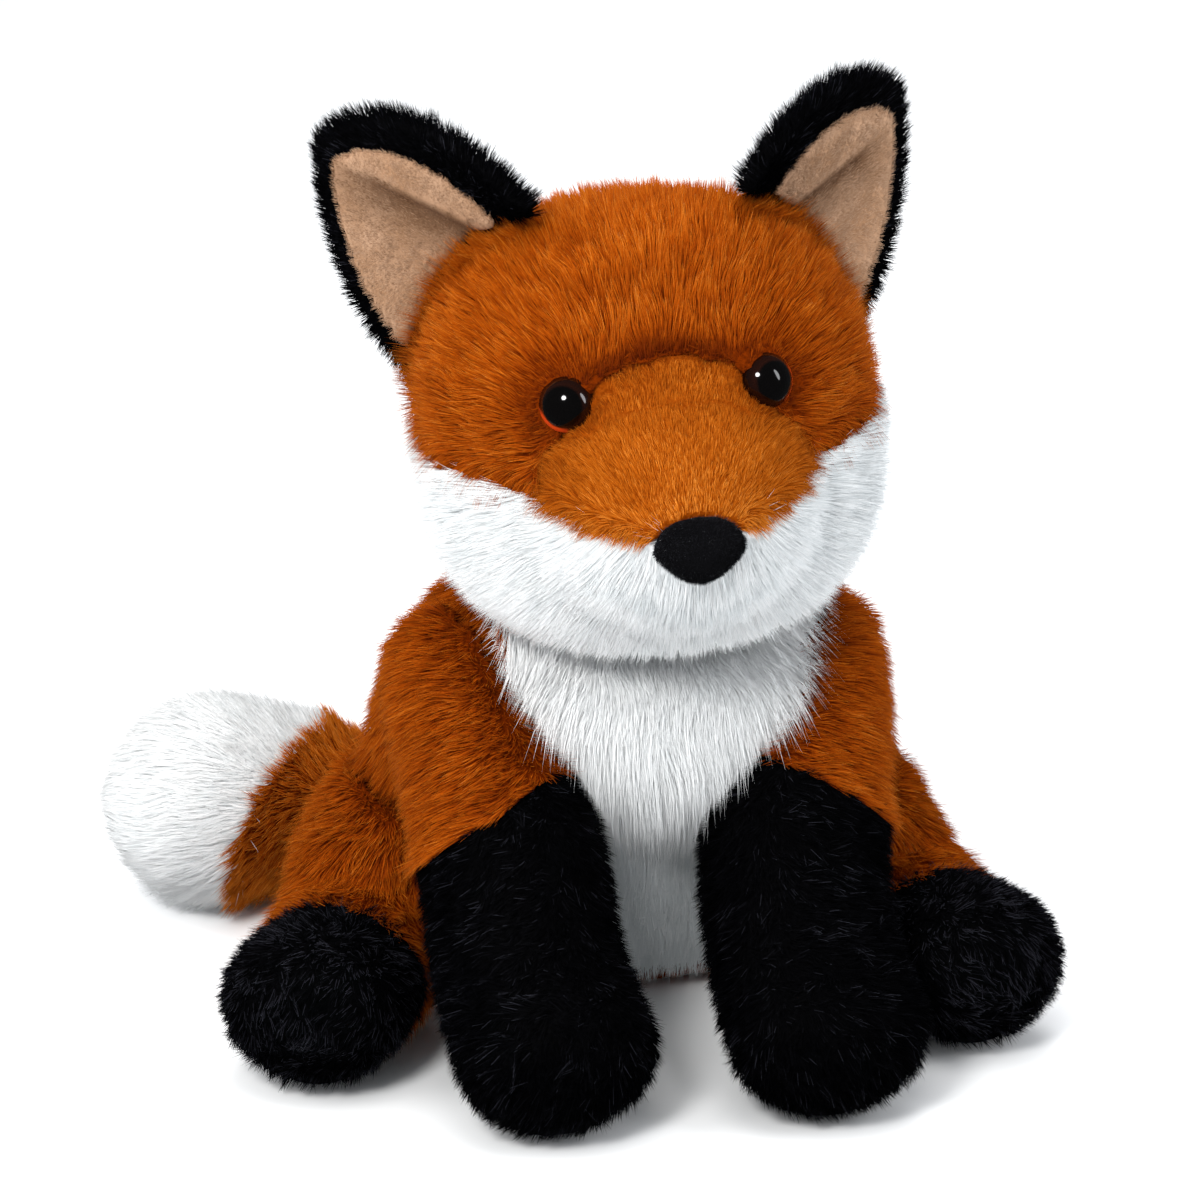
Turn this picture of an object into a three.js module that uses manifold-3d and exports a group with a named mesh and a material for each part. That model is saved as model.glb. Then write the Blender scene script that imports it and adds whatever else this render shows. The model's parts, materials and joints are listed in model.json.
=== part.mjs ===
// A sitting plush fox: fur skins sewn over stuffing, plastic eyes and nose on washers, jointed at its seams.
// Millimetres and degrees. It sits on Z = 0 and faces -Y, and its middle plane is X = 0.
import * as THREE from 'three';
import { mergeVertices } from 'three/addons/utils/BufferGeometryUtils.js';
import Module from 'manifold-3d';

const wasm = await Module();
wasm.setup();

// Driving dimensions
const gap = 0.3; // between pieces that touch
const skin = 5; // fur cloth with its pile pressed flat
const backing = 1; // the woven cloth alone, which the eyes and nose clamp
const pressed = 0.5; // how deep the floor flattens what stands on it
const overrun = 30; // how far a cutter runs past what it cuts

const torso = { height: 166, halfWidth: 93, halfDepth: 60, back: 12, lean: 30 };
const chest = { side: 4, halfWidth: 51, halfDepth: 32, forward: 56, bottom: 70, height: 68 };
const bib = { halfWidth: 52, bottom: 72, shoulderHeight: 118 };
const belly = { halfWidth: 42 };
const seat = { seamHeight: 9 };
const bag = { halfWidth: 52, halfDepth: 36, height: 26, floor: 8 };

const head = { side: 1.5, forward: 37, height: 200, roll: 4.3 };
const cranium = { halfWidth: 77, halfDepth: 61, crown: 76, jowl: 62 };
const crownShift = { back: 12, chinForward: 22 };
const cheekSeam = { lift: 4.5, slope: 7 };
const muzzle = { length: 70, halfWidth: 54, halfHeight: 46, start: 20, drop: 11 };
const browPanel = { halfWidth: 44, height: 37, overhang: 40 };
const neck = { turn: 25 };

const eye = { radius: 9, domeHeight: 6.5, out: 32, up: 26.5, yaw: 24, pitch: 12 };
const shank = { radius: 2.6, ridge: 0.5, length: 15, ridges: 4 };
const washer = { radius: 8, flatRadius: 5.6, thickness: 1.6, dish: 1.2 };
const nose = { halfWidth: 14.5, halfHeight: 10.5, depth: 13, drop: 10.5, narrowing: 0.3, squareness: 0.8 };

const ear = { height: 74, innerHalf: 42, outerHalf: 34, thickness: 5, cup: 13, root: 18 };
const earHinge = { up: 9, fold: 30, unfold: 12 };
const earSeat = { out: 48, back: 22, up: 46, lean: 40, tilt: 6, turn: 22 };
const earLift = { left: -1, right: -6 };
const earLining = { inner: 12, outer: 6, tip: 9, thickness: 1.8, proud: 1.2 };

const frontLeg = { out: 56, forward: 30, height: 119, reach: 108, pawHeight: 26, radius: 32, sway: 5 };
const legRaise = 18;
const frontInset = { left: 13, right: 12 };
const sock = { slope: 32, tilt: 19.3, wristHeight: 88 };
const hindLeg = { back: 2, height: 42, length: 101, radius: 42, footHeight: 27, ankle: 76 };
const legSpread = 24;
const hip = { left: 68, right: 60 };
const hindSplay = { left: 28, right: 24.6 };
const tail = { root: 10, back: 59.6, reach: 125, sweep: 17, radius: 38 };
const tailSeam = { fromTip: 23.6, tilt: 16, turn: 33 };
const tailSwing = 60;

// How finely the forms are cut: sides round, rings along and rings in a round end
const fine = { sides: 16, rings: 7, cap: 3 };
const coarse = { sides: 9, rings: 4, cap: 2 };
const roundSides = 16;
const domeRings = 6;

// How many positions of a joint its neighbours are cut for
const turnStops = 7;
const raiseStops = 7;
const spreadStops = 7;
const swingStops = 4;

// Half-sizes up the torso, as shares: height, width, depth
const torsoShares = [
  [0, 0.62, 0.7],
  [0.05, 0.76, 0.85],
  [0.14, 0.9, 0.96],
  [0.28, 0.98, 1],
  [0.45, 1, 0.98],
  [0.6, 0.95, 0.92],
  [0.72, 0.88, 0.84],
  [0.82, 0.76, 0.74],
  [0.9, 0.6, 0.62],
  [0.96, 0.4, 0.44],
];
const torsoLeanShares = [0, 0.06, 0.18, 0.38, 0.62, 0.85, 1, 1, 0.9, 0.8];

// Up the chest, which swells forward between the sleeves, as shares: height, width, depth
const chestShares = [
  [0.03, 0.25, 0.35],
  [0.15, 0.55, 0.7],
  [0.3, 0.8, 0.92],
  [0.48, 0.97, 1],
  [0.67, 1, 0.95],
  [0.83, 0.9, 0.75],
  [0.97, 0.68, 0.4],
];

// How square the crown and the jowls are, 2 being an ellipse
const crownRoundness = 2.4;
const jowlRoundness = 2.7;

// Along the muzzle, as shares: distance, width, height
const muzzleShares = [
  [0, 1, 1],
  [0.3, 0.92, 0.93],
  [0.55, 0.8, 0.82],
  [0.8, 0.6, 0.62],
  [0.93, 0.42, 0.44],
];
const muzzleCapShare = 0.3;

// Half outlines of the sewn panels from bottom to top, as shares of half-width and height
const bibShares = [
  [0, 0],
  [0.42, 0.09],
  [0.8, 0.41],
  [1, 1],
];
const bibCollarShare = 0.9;
const bellyShares = [
  [0.8, 0],
  [1, 0.5],
  [0.95, 1],
];
const browShares = [
  [1, 0],
  [0.86, 0.36],
  [0.59, 0.66],
  [0.5, 0.9],
  [0.25, 1],
  [0, 1.04],
];
const browHemShare = 0.92;

// From the back of the nose to its tip, as shares: distance, size
const noseShares = [
  [0, 0.9],
  [0.3, 1],
  [0.55, 0.96],
  [0.8, 0.76],
  [0.94, 0.45],
];

// Up an ear, as shares of its height, and how its two edges and its wall curve in
const earLevelShares = [0, 0.2, 0.4, 0.58, 0.74, 0.86, 0.94, 0.98];
const earCurve = { innerBow: 3, innerRound: 0.6, outerBow: 2, outerRound: 0.85, wallBow: 4, rimRound: 0.7 };

// Up the pellet bag, as shares: height, size
const bagShares = [
  [0, 0.8],
  [0.25, 1],
  [0.6, 0.96],
  [0.88, 0.66],
];

// Down a front leg, as shares: inward, sway, forward, down, width, depth
const frontLegShares = [
  [-0.3, 0.5, 0, 0, 0.74, 0.8],
  [-0.12, 0.5, 0.2, 0.17, 0.82, 0.86],
  [0.8, 0.8, 0.5, 0.53, 1, 0.97],
  [0.9, 1, 0.72, 0.8, 1, 0.92],
  [1, 0, 1, 1, 1.07, 0.84],
];
const pawCapShare = 0.92;

// Along a hind leg, as shares: distance, height lost, width, depth
const hindLegShares = [
  [0, 0, 0.97, 0.98],
  [0.3, 0.3, 0.9, 0.92],
  [0.58, 0.9, 0.7, 0.62],
  [0.8, 1, 0.75, 0.63],
  [1, 1, 0.785, 0.66],
];

// Along the tail, which lies on the floor, as shares: reach, sweep back, radius
const tailShares = [
  [0, 0, 0.5],
  [0.3, 0.7, 0.54],
  [0.58, 1, 0.68],
  [0.8, 0.75, 0.88],
  [1, 0.25, 1],
];

// Vectors and matrices
const AXIS_X = new THREE.Vector3(1, 0, 0);
const AXIS_Y = new THREE.Vector3(0, 1, 0);
const AXIS_Z = new THREE.Vector3(0, 0, 1);

const rad = THREE.MathUtils.degToRad;

function vec(x, y, z) {
  return new THREE.Vector3(x, y, z);
}

function turned(axis, degrees, centre = vec(0, 0, 0)) {
  const there = new THREE.Matrix4().makeTranslation(centre);
  const back = new THREE.Matrix4().makeTranslation(centre.clone().negate());
  const turn = new THREE.Matrix4().makeRotationAxis(axis, rad(degrees));
  return there.multiply(turn).multiply(back);
}

// Solids
function solidFrom(geometry, matrix = new THREE.Matrix4()) {
  const bare = geometry.clone().applyMatrix4(matrix);
  bare.deleteAttribute('normal');
  bare.deleteAttribute('uv');
  const merged = mergeVertices(bare);
  const triVerts = new Uint32Array(merged.index.array);
  const vertProperties = merged.attributes.position.array;
  return new wasm.Manifold(new wasm.Mesh({ numProp: 3, vertProperties, triVerts }));
}

function geometryFrom(solid) {
  const mesh = solid.getMesh();
  const positions = new Float32Array(mesh.numVert * 3);
  for (let i = 0; i < mesh.numVert; i++) {
    positions.set(mesh.vertProperties.subarray(i * mesh.numProp, i * mesh.numProp + 3), i * 3);
  }
  const geometry = new THREE.BufferGeometry();
  geometry.setAttribute('position', new THREE.BufferAttribute(positions, 3));
  geometry.setIndex(new THREE.BufferAttribute(mesh.triVerts, 1));
  geometry.computeVertexNormals();
  return geometry;
}

function moved(solid, matrix) {
  return solid.transform(matrix.elements);
}

function joined(solids) {
  return solids.reduce((whole, next) => whole.add(next));
}

// Everything that a solid passes through while it turns about an axis through the centre.
function swept(solid, axis, centre, degrees) {
  return joined(degrees.map((angle) => moved(solid, turned(axis, angle, centre))));
}

// Angles from one end of a joint's range to the other
function stops(from, to, count) {
  return Array.from({ length: count }, (_, i) => from + ((to - from) * i) / (count - 1));
}

// The cut piece itself, without the offcuts that a curved cutter leaves.
function mainBody(solid) {
  const bodies = solid.decompose();
  return bodies.reduce((largest, next) => (next.volume() > largest.volume() ? next : largest));
}

// A closed surface through rings of points, with a point at each end.
function loft(rings, firstTip, lastTip) {
  const sides = rings[0].length;
  const positions = [...rings.flat(), firstTip, lastTip].flatMap((p) => p.toArray());
  const first = rings.length * sides;
  const index = [];
  for (let side = 0; side < sides; side++) {
    const next = (side + 1) % sides;
    index.push(first, next, side);
    for (let ring = 0; ring + 1 < rings.length; ring++) {
      const low = ring * sides;
      const high = low + sides;
      index.push(low + side, low + next, high + next, low + side, high + next, high + side);
    }
    const top = (rings.length - 1) * sides;
    index.push(first + 1, top + side, top + next);
  }
  const geometry = new THREE.BufferGeometry();
  geometry.setAttribute('position', new THREE.Float32BufferAttribute(positions, 3));
  geometry.setIndex(index);
  return facingOut(geometry);
}

function facingOut(geometry) {
  const p = geometry.attributes.position;
  const index = geometry.index.array;
  const corner = (i) => vec(p.getX(index[i]), p.getY(index[i]), p.getZ(index[i]));
  let volume = 0;
  for (let i = 0; i < index.length; i += 3) {
    volume += corner(i).dot(corner(i + 1).cross(corner(i + 2)));
  }
  if (volume < 0) {
    for (let i = 0; i < index.length; i += 3) {
      [index[i + 1], index[i + 2]] = [index[i + 2], index[i + 1]];
    }
  }
  return geometry;
}

// The same surface, grown along its normals, or shrunk where the distance is negative.
function grown(geometry, distance) {
  const copy = geometry.clone();
  copy.computeVertexNormals();
  const p = copy.attributes.position;
  const n = copy.attributes.normal;
  for (let i = 0; i < p.count; i++) {
    const at = vec(p.getX(i), p.getY(i), p.getZ(i));
    at.addScaledVector(vec(n.getX(i), n.getY(i), n.getZ(i)), distance);
    p.setXYZ(i, at.x, at.y, at.z);
  }
  return copy;
}

function ellipse(centre, across, over, halfAcross, halfOver, sides) {
  return Array.from({ length: sides }, (_, i) => {
    const angle = (i / sides) * 2 * Math.PI;
    const reachAcross = across.clone().multiplyScalar(halfAcross * Math.cos(angle));
    const reachOver = over.clone().multiplyScalar(halfOver * Math.sin(angle));
    return centre.clone().add(reachAcross).add(reachOver);
  });
}

// A limb: rings square to a spine, round at both ends. Each row is { at, halfWidth, halfDepth }.
function limb(rows, aside, { sides, rings, cap }, capShare = 1) {
  const spine = new THREE.CatmullRomCurve3(rows.map((row) => row.at), false, 'catmullrom');
  const halfSizes = rows.map((row) => vec(row.halfWidth, row.halfDepth, 0));
  const sizes = new THREE.CatmullRomCurve3(halfSizes, false, 'catmullrom');
  const ringAt = (t, beyond, capAngle) => {
    const tangent = spine.getTangent(t);
    const across = aside.clone().addScaledVector(tangent, -aside.dot(tangent)).normalize();
    const over = tangent.clone().cross(across);
    const size = sizes.getPoint(t);
    const run = Math.sin(capAngle) * Math.min(size.x, size.y) * capShare;
    const centre = spine.getPoint(t).addScaledVector(tangent, beyond * run);
    const shrink = Math.cos(capAngle);
    return { centre, ring: ellipse(centre, across, over, size.x * shrink, size.y * shrink, sides) };
  };
  const angles = Array.from({ length: cap }, (_, i) => ((i + 1) / (cap + 1)) * (Math.PI / 2));
  const firstCap = [...angles].reverse().map((angle) => ringAt(0, -1, angle).ring);
  const along = Array.from({ length: rings }, (_, i) => ringAt(i / (rings - 1), 0, 0).ring);
  const lastCap = angles.map((angle) => ringAt(1, 1, angle).ring);
  const firstTip = ringAt(0, -1, Math.PI / 2).centre;
  const lastTip = ringAt(1, 1, Math.PI / 2).centre;
  return loft([...firstCap, ...along, ...lastCap], firstTip, lastTip);
}

// A stuffed form: what it takes up, the room it needs, the berth that other stuffing gives it,
// its hollow under the fur and the stuffing in it.
function stuffed(fineShapes, coarseShapes, matrix = new THREE.Matrix4()) {
  const all = (shapes, distance) => joined(shapes.map((shape) => solidFrom(grown(shape, distance), matrix)));
  return {
    outer: all(fineShapes, 0),
    room: all(fineShapes, gap),
    berth: all(fineShapes, skin),
    hollow: all(coarseShapes, -skin),
    stuffing: all(coarseShapes, -skin - gap),
  };
}

// Cutters
const reach = torso.height + torso.halfWidth;

function slab(width, depth, height, matrix) {
  return solidFrom(new THREE.BoxGeometry(width, depth, height), matrix);
}

// Everything on the side of a plane that its direction points to.
function beyondPlane(point, direction) {
  const size = reach + overrun;
  const turn = new THREE.Quaternion().setFromUnitVectors(AXIS_Z, direction.clone().normalize());
  const place = new THREE.Matrix4().compose(point, turn, vec(1, 1, 1));
  const lift = new THREE.Matrix4().makeTranslation(0, 0, size);
  return slab(size * 2, size * 2, size * 2, place.multiply(lift));
}

const underFloor = beyondPlane(vec(0, 0, 0), AXIS_Z.clone().negate());

// An outline in X and Z, given for the right half from bottom to top, run forward from the body's middle
function frontPanel(halfOutline, matrix = new THREE.Matrix4()) {
  const right = halfOutline.map(([x, z]) => new THREE.Vector2(x, z));
  const left = halfOutline.map(([x, z]) => new THREE.Vector2(-x, z)).reverse();
  const shape = new THREE.Shape([...right, ...left.filter((p) => p.x < 0)]);
  const depth = reach;
  const prism = new THREE.ExtrudeGeometry(shape, { depth, bevelEnabled: false });
  prism.rotateX(Math.PI / 2);
  return solidFrom(prism, matrix);
}

// Torso
function torsoForm({ sides }) {
  const rings = torsoShares.map(([up, width, depth], i) => {
    const y = torso.back - torso.lean * torsoLeanShares[i];
    const centre = vec(0, y, up * (torso.height + pressed) - pressed);
    return ellipse(centre, AXIS_X, AXIS_Y, torso.halfWidth * width, torso.halfDepth * depth, sides);
  });
  const topY = torso.back - torso.lean * torsoLeanShares[torsoLeanShares.length - 1];
  const bottomTip = vec(0, torso.back, -pressed);
  return loft(rings, bottomTip, vec(0, topY, torso.height));
}

function chestForm({ sides }) {
  const at = (up) => vec(chest.side, -chest.forward, chest.bottom + chest.height * up);
  const rings = chestShares.map(([up, width, depth]) =>
    ellipse(at(up), AXIS_X, AXIS_Y, chest.halfWidth * width, chest.halfDepth * depth, sides),
  );
  return loft(rings, at(0), at(1));
}

function bibPanel(grow) {
  const rise = bib.shoulderHeight - bib.bottom;
  const outline = bibShares.map(([width, up]) => [
    width > 0 ? bib.halfWidth * width + grow : 0,
    bib.bottom + rise * up - grow,
  ]);
  outline.push([bib.halfWidth * bibCollarShare + grow, torso.height + overrun]);
  return frontPanel(outline, new THREE.Matrix4().makeTranslation(chest.side, 0, 0));
}

function bellyPanel(grow) {
  const bottom = seat.seamHeight - grow;
  const rise = bib.bottom - bottom;
  const outline = bellyShares.map(([width, up]) => [belly.halfWidth * width + grow, bottom + rise * up]);
  outline.unshift([0, bottom]);
  outline.push([0, bib.shoulderHeight]);
  return frontPanel(outline);
}

// The pellet bag, flat underneath and round on top; its pocket opens down to the seat.
function bagRing(up, share, grow) {
  const centre = vec(0, torso.back, bag.floor + up * bag.height);
  const [halfWidth, halfDepth] = [bag.halfWidth, bag.halfDepth].map((half) => half * share + grow);
  return ellipse(centre, AXIS_X, AXIS_Y, halfWidth, halfDepth, fine.sides);
}

function bagForm() {
  const rings = bagShares.map(([up, share]) => bagRing(up, share, 0));
  const middle = (up) => vec(0, torso.back, bag.floor + up * bag.height);
  return loft(rings, middle(0), middle(1));
}

function bagPocket() {
  const [waist] = bagShares[1];
  const rings = [bagRing(-overrun / bag.height, 1, gap), bagRing(waist, 1, gap)];
  const low = vec(0, torso.back, bag.floor - overrun);
  const high = vec(0, torso.back, bag.floor + waist * bag.height);
  return solidFrom(loft(rings, low, high)).add(solidFrom(grown(bagForm(), gap * 2)));
}

const torsoParts = stuffed([torsoForm(fine), chestForm(fine)], [torsoForm(coarse), chestForm(coarse)]);
const trunkRoom = solidFrom(grown(torsoForm(fine), gap));

// Head, drawn about its own centre and then rolled a little to one side
const headPlace = turned(AXIS_Y, -head.roll).premultiply(
  new THREE.Matrix4().makeTranslation(head.side, -head.forward, head.height),
);
const neckCentre = vec(0, torso.back - torso.lean, torso.height);

function craniumSection(share) {
  const power = share > 0 ? crownRoundness : jowlRoundness;
  const size = Math.pow(Math.max(0, 1 - Math.pow(Math.abs(share), power)), 1 / power);
  const height = share > 0 ? share * cranium.crown : share * cranium.jowl;
  const y = share > 0 ? crownShift.back * share * share : -crownShift.chinForward * share * share;
  return { size, centre: vec(0, y, height) };
}

function craniumForm({ sides, rings, cap }) {
  const count = rings + cap;
  const sections = Array.from({ length: count }, (_, i) => {
    const { size, centre } = craniumSection(Math.sin((((i + 1) / (count + 1)) * 2 - 1) * (Math.PI / 2)));
    return ellipse(centre, AXIS_X, AXIS_Y, cranium.halfWidth * size, cranium.halfDepth * size, sides);
  });
  return loft(sections, craniumSection(-1).centre, craniumSection(1).centre);
}

// The front of the cranium beside or above its middle
function craniumFront(x, z) {
  const { size, centre } = craniumSection(z > 0 ? z / cranium.crown : z / cranium.jowl);
  const across = x / (cranium.halfWidth * size);
  return centre.y - cranium.halfDepth * size * Math.sqrt(1 - across * across);
}

function muzzleForm(detail) {
  const rows = muzzleShares.map(([along, width, height]) => ({
    at: vec(0, -muzzle.start - along * muzzle.length, -muzzle.drop),
    halfWidth: muzzle.halfWidth * width,
    halfDepth: muzzle.halfHeight * height,
  }));
  return limb(rows, AXIS_X, detail, muzzleCapShare);
}

const headParts = stuffed(
  [craniumForm(fine), muzzleForm(fine)],
  [craniumForm(coarse), muzzleForm(coarse)],
  headPlace,
);

const [muzzleEndShare, , muzzleEndHeightShare] = muzzleShares[muzzleShares.length - 1];
const muzzleCap = muzzle.halfHeight * muzzleEndHeightShare * muzzleCapShare;
const muzzleTipY = -muzzle.start - muzzle.length * muzzleEndShare - muzzleCap;

function browOutline(grow) {
  const arch = browShares.map(([width, up]) => [
    width > 0 ? browPanel.halfWidth * width + grow : 0,
    browPanel.height * up + (up > 0 ? grow : 0),
  ]);
  return [[browPanel.halfWidth * browHemShare + grow, -browPanel.overhang], ...arch];
}

// Eyes: a dome on a ridged shank, pushed through the skin and held by a dished washer.
function ridgedShank(base, tip) {
  const points = [];
  const pitch = (tip - base) / (shank.ridges * 2);
  for (let i = 0; i <= shank.ridges * 2; i++) {
    const radius = shank.radius + (i % 2 ? shank.ridge : 0);
    points.push(new THREE.Vector2(radius, base + i * pitch));
  }
  return points;
}

function eyeGeometry() {
  const ball = (eye.radius * eye.radius + eye.domeHeight * eye.domeHeight) / (2 * eye.domeHeight);
  const rimAngle = Math.asin(eye.radius / ball);
  const dome = Array.from({ length: domeRings }, (_, i) => {
    const angle = rimAngle * (1 - i / (domeRings - 1));
    return new THREE.Vector2(ball * Math.sin(angle), eye.domeHeight - ball + ball * Math.cos(angle));
  });
  dome[dome.length - 1].x = 0;
  const stem = ridgedShank(-shank.length, 0);
  const start = new THREE.Vector2(0, -shank.length);
  return new THREE.LatheGeometry([start, ...stem, ...dome], roundSides);
}

function washerGeometry(hole) {
  const half = washer.thickness / 2;
  const profile = [
    new THREE.Vector2(hole, -half - washer.dish),
    new THREE.Vector2(washer.flatRadius, -half),
    new THREE.Vector2(washer.radius, -half),
    new THREE.Vector2(washer.radius, half),
    new THREE.Vector2(washer.flatRadius, half),
    new THREE.Vector2(hole, half - washer.dish),
    new THREE.Vector2(hole, -half - washer.dish),
  ];
  return new THREE.LatheGeometry(profile, roundSides);
}

// A pocket in skin and stuffing: a straight bore from deep inside to well past the surface
function bore(radius, from, to) {
  const profile = [
    new THREE.Vector2(0, from),
    new THREE.Vector2(radius, from),
    new THREE.Vector2(radius, to),
    new THREE.Vector2(0, to),
  ];
  return new THREE.LatheGeometry(profile, roundSides);
}

// Places something whose own +Y points out of the face.
function facePlace(x, y, z, yaw, pitch) {
  const turn = new THREE.Matrix4().makeRotationZ(rad(yaw));
  turn.multiply(new THREE.Matrix4().makeRotationX(rad(180 - pitch)));
  const at = new THREE.Matrix4().makeTranslation(x, y, z);
  return headPlace.clone().multiply(at).multiply(turn);
}

const washerHole = shank.radius + shank.ridge + gap;
const washerSeat = backing + gap + washer.thickness / 2;
const pile = skin - backing;

function eyeSet(side) {
  const x = side * eye.out;
  const y = craniumFront(eye.out, eye.up) + pile;
  const place = facePlace(x, y, eye.up, side * eye.yaw, eye.pitch);
  const dome = solidFrom(eyeGeometry(), place);
  const ring = place.clone().multiply(new THREE.Matrix4().makeTranslation(0, -washerSeat, 0));
  return {
    eye: dome,
    washer: solidFrom(washerGeometry(washerHole), ring),
    socket: solidFrom(bore(eye.radius + gap, -gap, overrun), place),
    shaft: solidFrom(bore(washerHole, -shank.length - gap, overrun), place),
    recess: solidFrom(bore(washer.radius + gap, -shank.length - gap, -backing), place),
    pocket: solidFrom(bore(washer.radius + gap, -shank.length - gap, overrun), place),
  };
}

// Nose: a rounded triangle, wide at the top, domed to the front.
function noseSection(y, share, grow) {
  return Array.from({ length: fine.sides }, (_, i) => {
    const angle = (i / fine.sides) * 2 * Math.PI;
    const z = Math.sin(angle);
    const narrow = 1 - nose.narrowing * Math.max(0, -z);
    const x = Math.sign(Math.cos(angle)) * Math.pow(Math.abs(Math.cos(angle)), nose.squareness);
    const width = (nose.halfWidth * share + grow) * narrow;
    return vec(x * width, y, z * (nose.halfHeight * share + grow));
  });
}

function noseForm(grow) {
  const rings = noseShares.map(([out, share]) => noseSection(-out * nose.depth, share, grow));
  return loft(rings, vec(0, grow, 0), vec(0, -nose.depth - grow, 0));
}

const noseBack = muzzleTipY + pile;
const nosePlace = headPlace.clone().multiply(new THREE.Matrix4().makeTranslation(0, noseBack, -nose.drop));
const noseShankPlace = nosePlace.clone().multiply(new THREE.Matrix4().makeRotationX(Math.PI));

function noseSet() {
  const stem = [new THREE.Vector2(0, -shank.length), ...ridgedShank(-shank.length, 0)];
  stem.push(new THREE.Vector2(shank.radius, nose.depth / 2), new THREE.Vector2(0, nose.depth / 2));
  const post = solidFrom(new THREE.LatheGeometry(stem, roundSides), noseShankPlace);
  const ring = noseShankPlace.clone().multiply(new THREE.Matrix4().makeTranslation(0, -washerSeat, 0));
  return {
    nose: solidFrom(noseForm(0), nosePlace).add(post),
    washer: solidFrom(washerGeometry(washerHole), ring),
    socket: solidFrom(noseForm(gap), nosePlace),
    shaft: solidFrom(bore(washerHole, -shank.length - gap, nose.depth), noseShankPlace),
    recess: solidFrom(bore(washer.radius + gap, -shank.length - gap, -backing), noseShankPlace),
    pocket: solidFrom(bore(washer.radius + gap, -shank.length - gap, overrun), noseShankPlace),
  };
}

// Ears: a cupped leaf of black fur with a thin lining set into its front
function earPlace(side) {
  const lift = side < 0 ? earLift.left : earLift.right;
  const at = new THREE.Matrix4().makeTranslation(side * earSeat.out, earSeat.back, earSeat.up + lift);
  const place = headPlace.clone().multiply(at);
  place.multiply(new THREE.Matrix4().makeRotationY(rad(side * earSeat.lean)));
  place.multiply(new THREE.Matrix4().makeRotationX(rad(-earSeat.tilt)));
  place.multiply(new THREE.Matrix4().makeRotationZ(rad(side * earSeat.turn)));
  return place;
}

// One side of the leaf is fuller than the other: the inner edge bows out, the outer edge runs straighter.
function earHalfWidth(up, inner, rim) {
  const curved = (bow, round) => Math.pow(1 - Math.pow(up, bow), round);
  if (inner) return (ear.innerHalf - rim.inner) * curved(earCurve.innerBow, earCurve.innerRound);
  return (ear.outerHalf - rim.outer) * curved(earCurve.outerBow, earCurve.outerRound);
}

function earForm(side, rim, thickness, forward, sides) {
  const top = ear.height - rim.tip;
  const ringAt = (z, up) =>
    Array.from({ length: sides }, (_, i) => {
      const angle = (i / sides) * 2 * Math.PI;
      const u = Math.cos(angle);
      const half = earHalfWidth(up, u * side < 0, rim);
      const cup = ear.cup * (1 - up / 2);
      const wall = thickness * Math.sqrt(1 - Math.pow(up, earCurve.wallBow));
      const bulge = Math.sign(Math.sin(angle)) * Math.pow(Math.abs(Math.sin(angle)), earCurve.rimRound);
      const spread = (half * u) / ear.outerHalf;
      return vec(half * u, wall * bulge - forward - cup * spread * spread, z);
    });
  const rings = [ringAt(-ear.root, 0), ...earLevelShares.map((up) => ringAt(up * top, up))];
  return loft(rings, vec(0, -forward, -ear.root), vec(0, -forward, top));
}

const noRim = { inner: 0, outer: 0, tip: 0 };

function earParts(side) {
  const place = earPlace(side);
  const leaf = earForm(side, noRim, ear.thickness, 0, fine.sides);
  const liningForward = ear.thickness - earLining.thickness + earLining.proud;
  const lining = earForm(side, earLining, earLining.thickness, liningForward, fine.sides);
  const base = vec(0, 0, earHinge.up).applyMatrix4(place);
  const hinge = vec(1, 0, 0).transformDirection(place);
  const folds = [-earHinge.fold, -earHinge.fold / 2, 0, earHinge.unfold];
  const clear = swept(headParts.room, hinge, base, folds);
  const inset = solidFrom(grown(lining, gap), place);
  return {
    back: mainBody(solidFrom(leaf, place).subtract(inset).subtract(clear)),
    lining: mainBody(solidFrom(lining, place).subtract(clear)),
  };
}

// Front legs
function shoulderOf(side) {
  return vec(side * frontLeg.out, -frontLeg.forward, frontLeg.height);
}

function frontLegForm(side, detail) {
  const inset = side < 0 ? frontInset.left : frontInset.right;
  const rows = frontLegShares.map(([inward, sway, forward, down, width, depth]) => ({
    at: vec(
      side * (frontLeg.out - inset * inward) - frontLeg.sway * sway,
      -frontLeg.forward - frontLeg.reach * forward,
      frontLeg.height - (frontLeg.height - frontLeg.pawHeight) * down,
    ),
    halfWidth: frontLeg.radius * width,
    halfDepth: frontLeg.radius * depth,
  }));
  return limb(rows, AXIS_X, detail, pawCapShare);
}

const legAngles = stops(0, legRaise, raiseStops);
const turnAngles = [-neck.turn, 0, neck.turn];
const bodyRoom = torsoParts.room.add(swept(headParts.room, AXIS_Z, neckCentre, turnAngles));
const bodyBerth = torsoParts.berth.add(swept(headParts.berth, AXIS_Z, neckCentre, turnAngles));

function frontLegSet(side) {
  const parts = stuffed([frontLegForm(side, fine)], [frontLegForm(side, coarse)]);
  const clear = swept(bodyRoom, AXIS_X, shoulderOf(side), legAngles).add(underFloor);
  const berth = swept(bodyBerth, AXIS_X, shoulderOf(side), legAngles);
  const shell = parts.outer.subtract(parts.hollow).subtract(clear);
  const seamPoint = vec(side * frontLeg.out, -frontLeg.forward - frontLeg.reach / 2, sock.wristHeight);
  const slope = rad(sock.slope);
  const seamDirection = vec(side * Math.sin(slope), Math.tan(rad(sock.tilt)), Math.cos(slope)).normalize();
  const above = beyondPlane(seamPoint.clone().addScaledVector(seamDirection, gap / 2), seamDirection);
  const downward = seamDirection.clone().negate();
  const below = beyondPlane(seamPoint.clone().addScaledVector(downward, gap / 2), downward);
  return {
    sleeve: mainBody(shell.intersect(above)),
    stocking: mainBody(shell.intersect(below)),
    stuffing: mainBody(parts.stuffing.subtract(berth).subtract(underFloor)),
    room: parts.room,
  };
}

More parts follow.
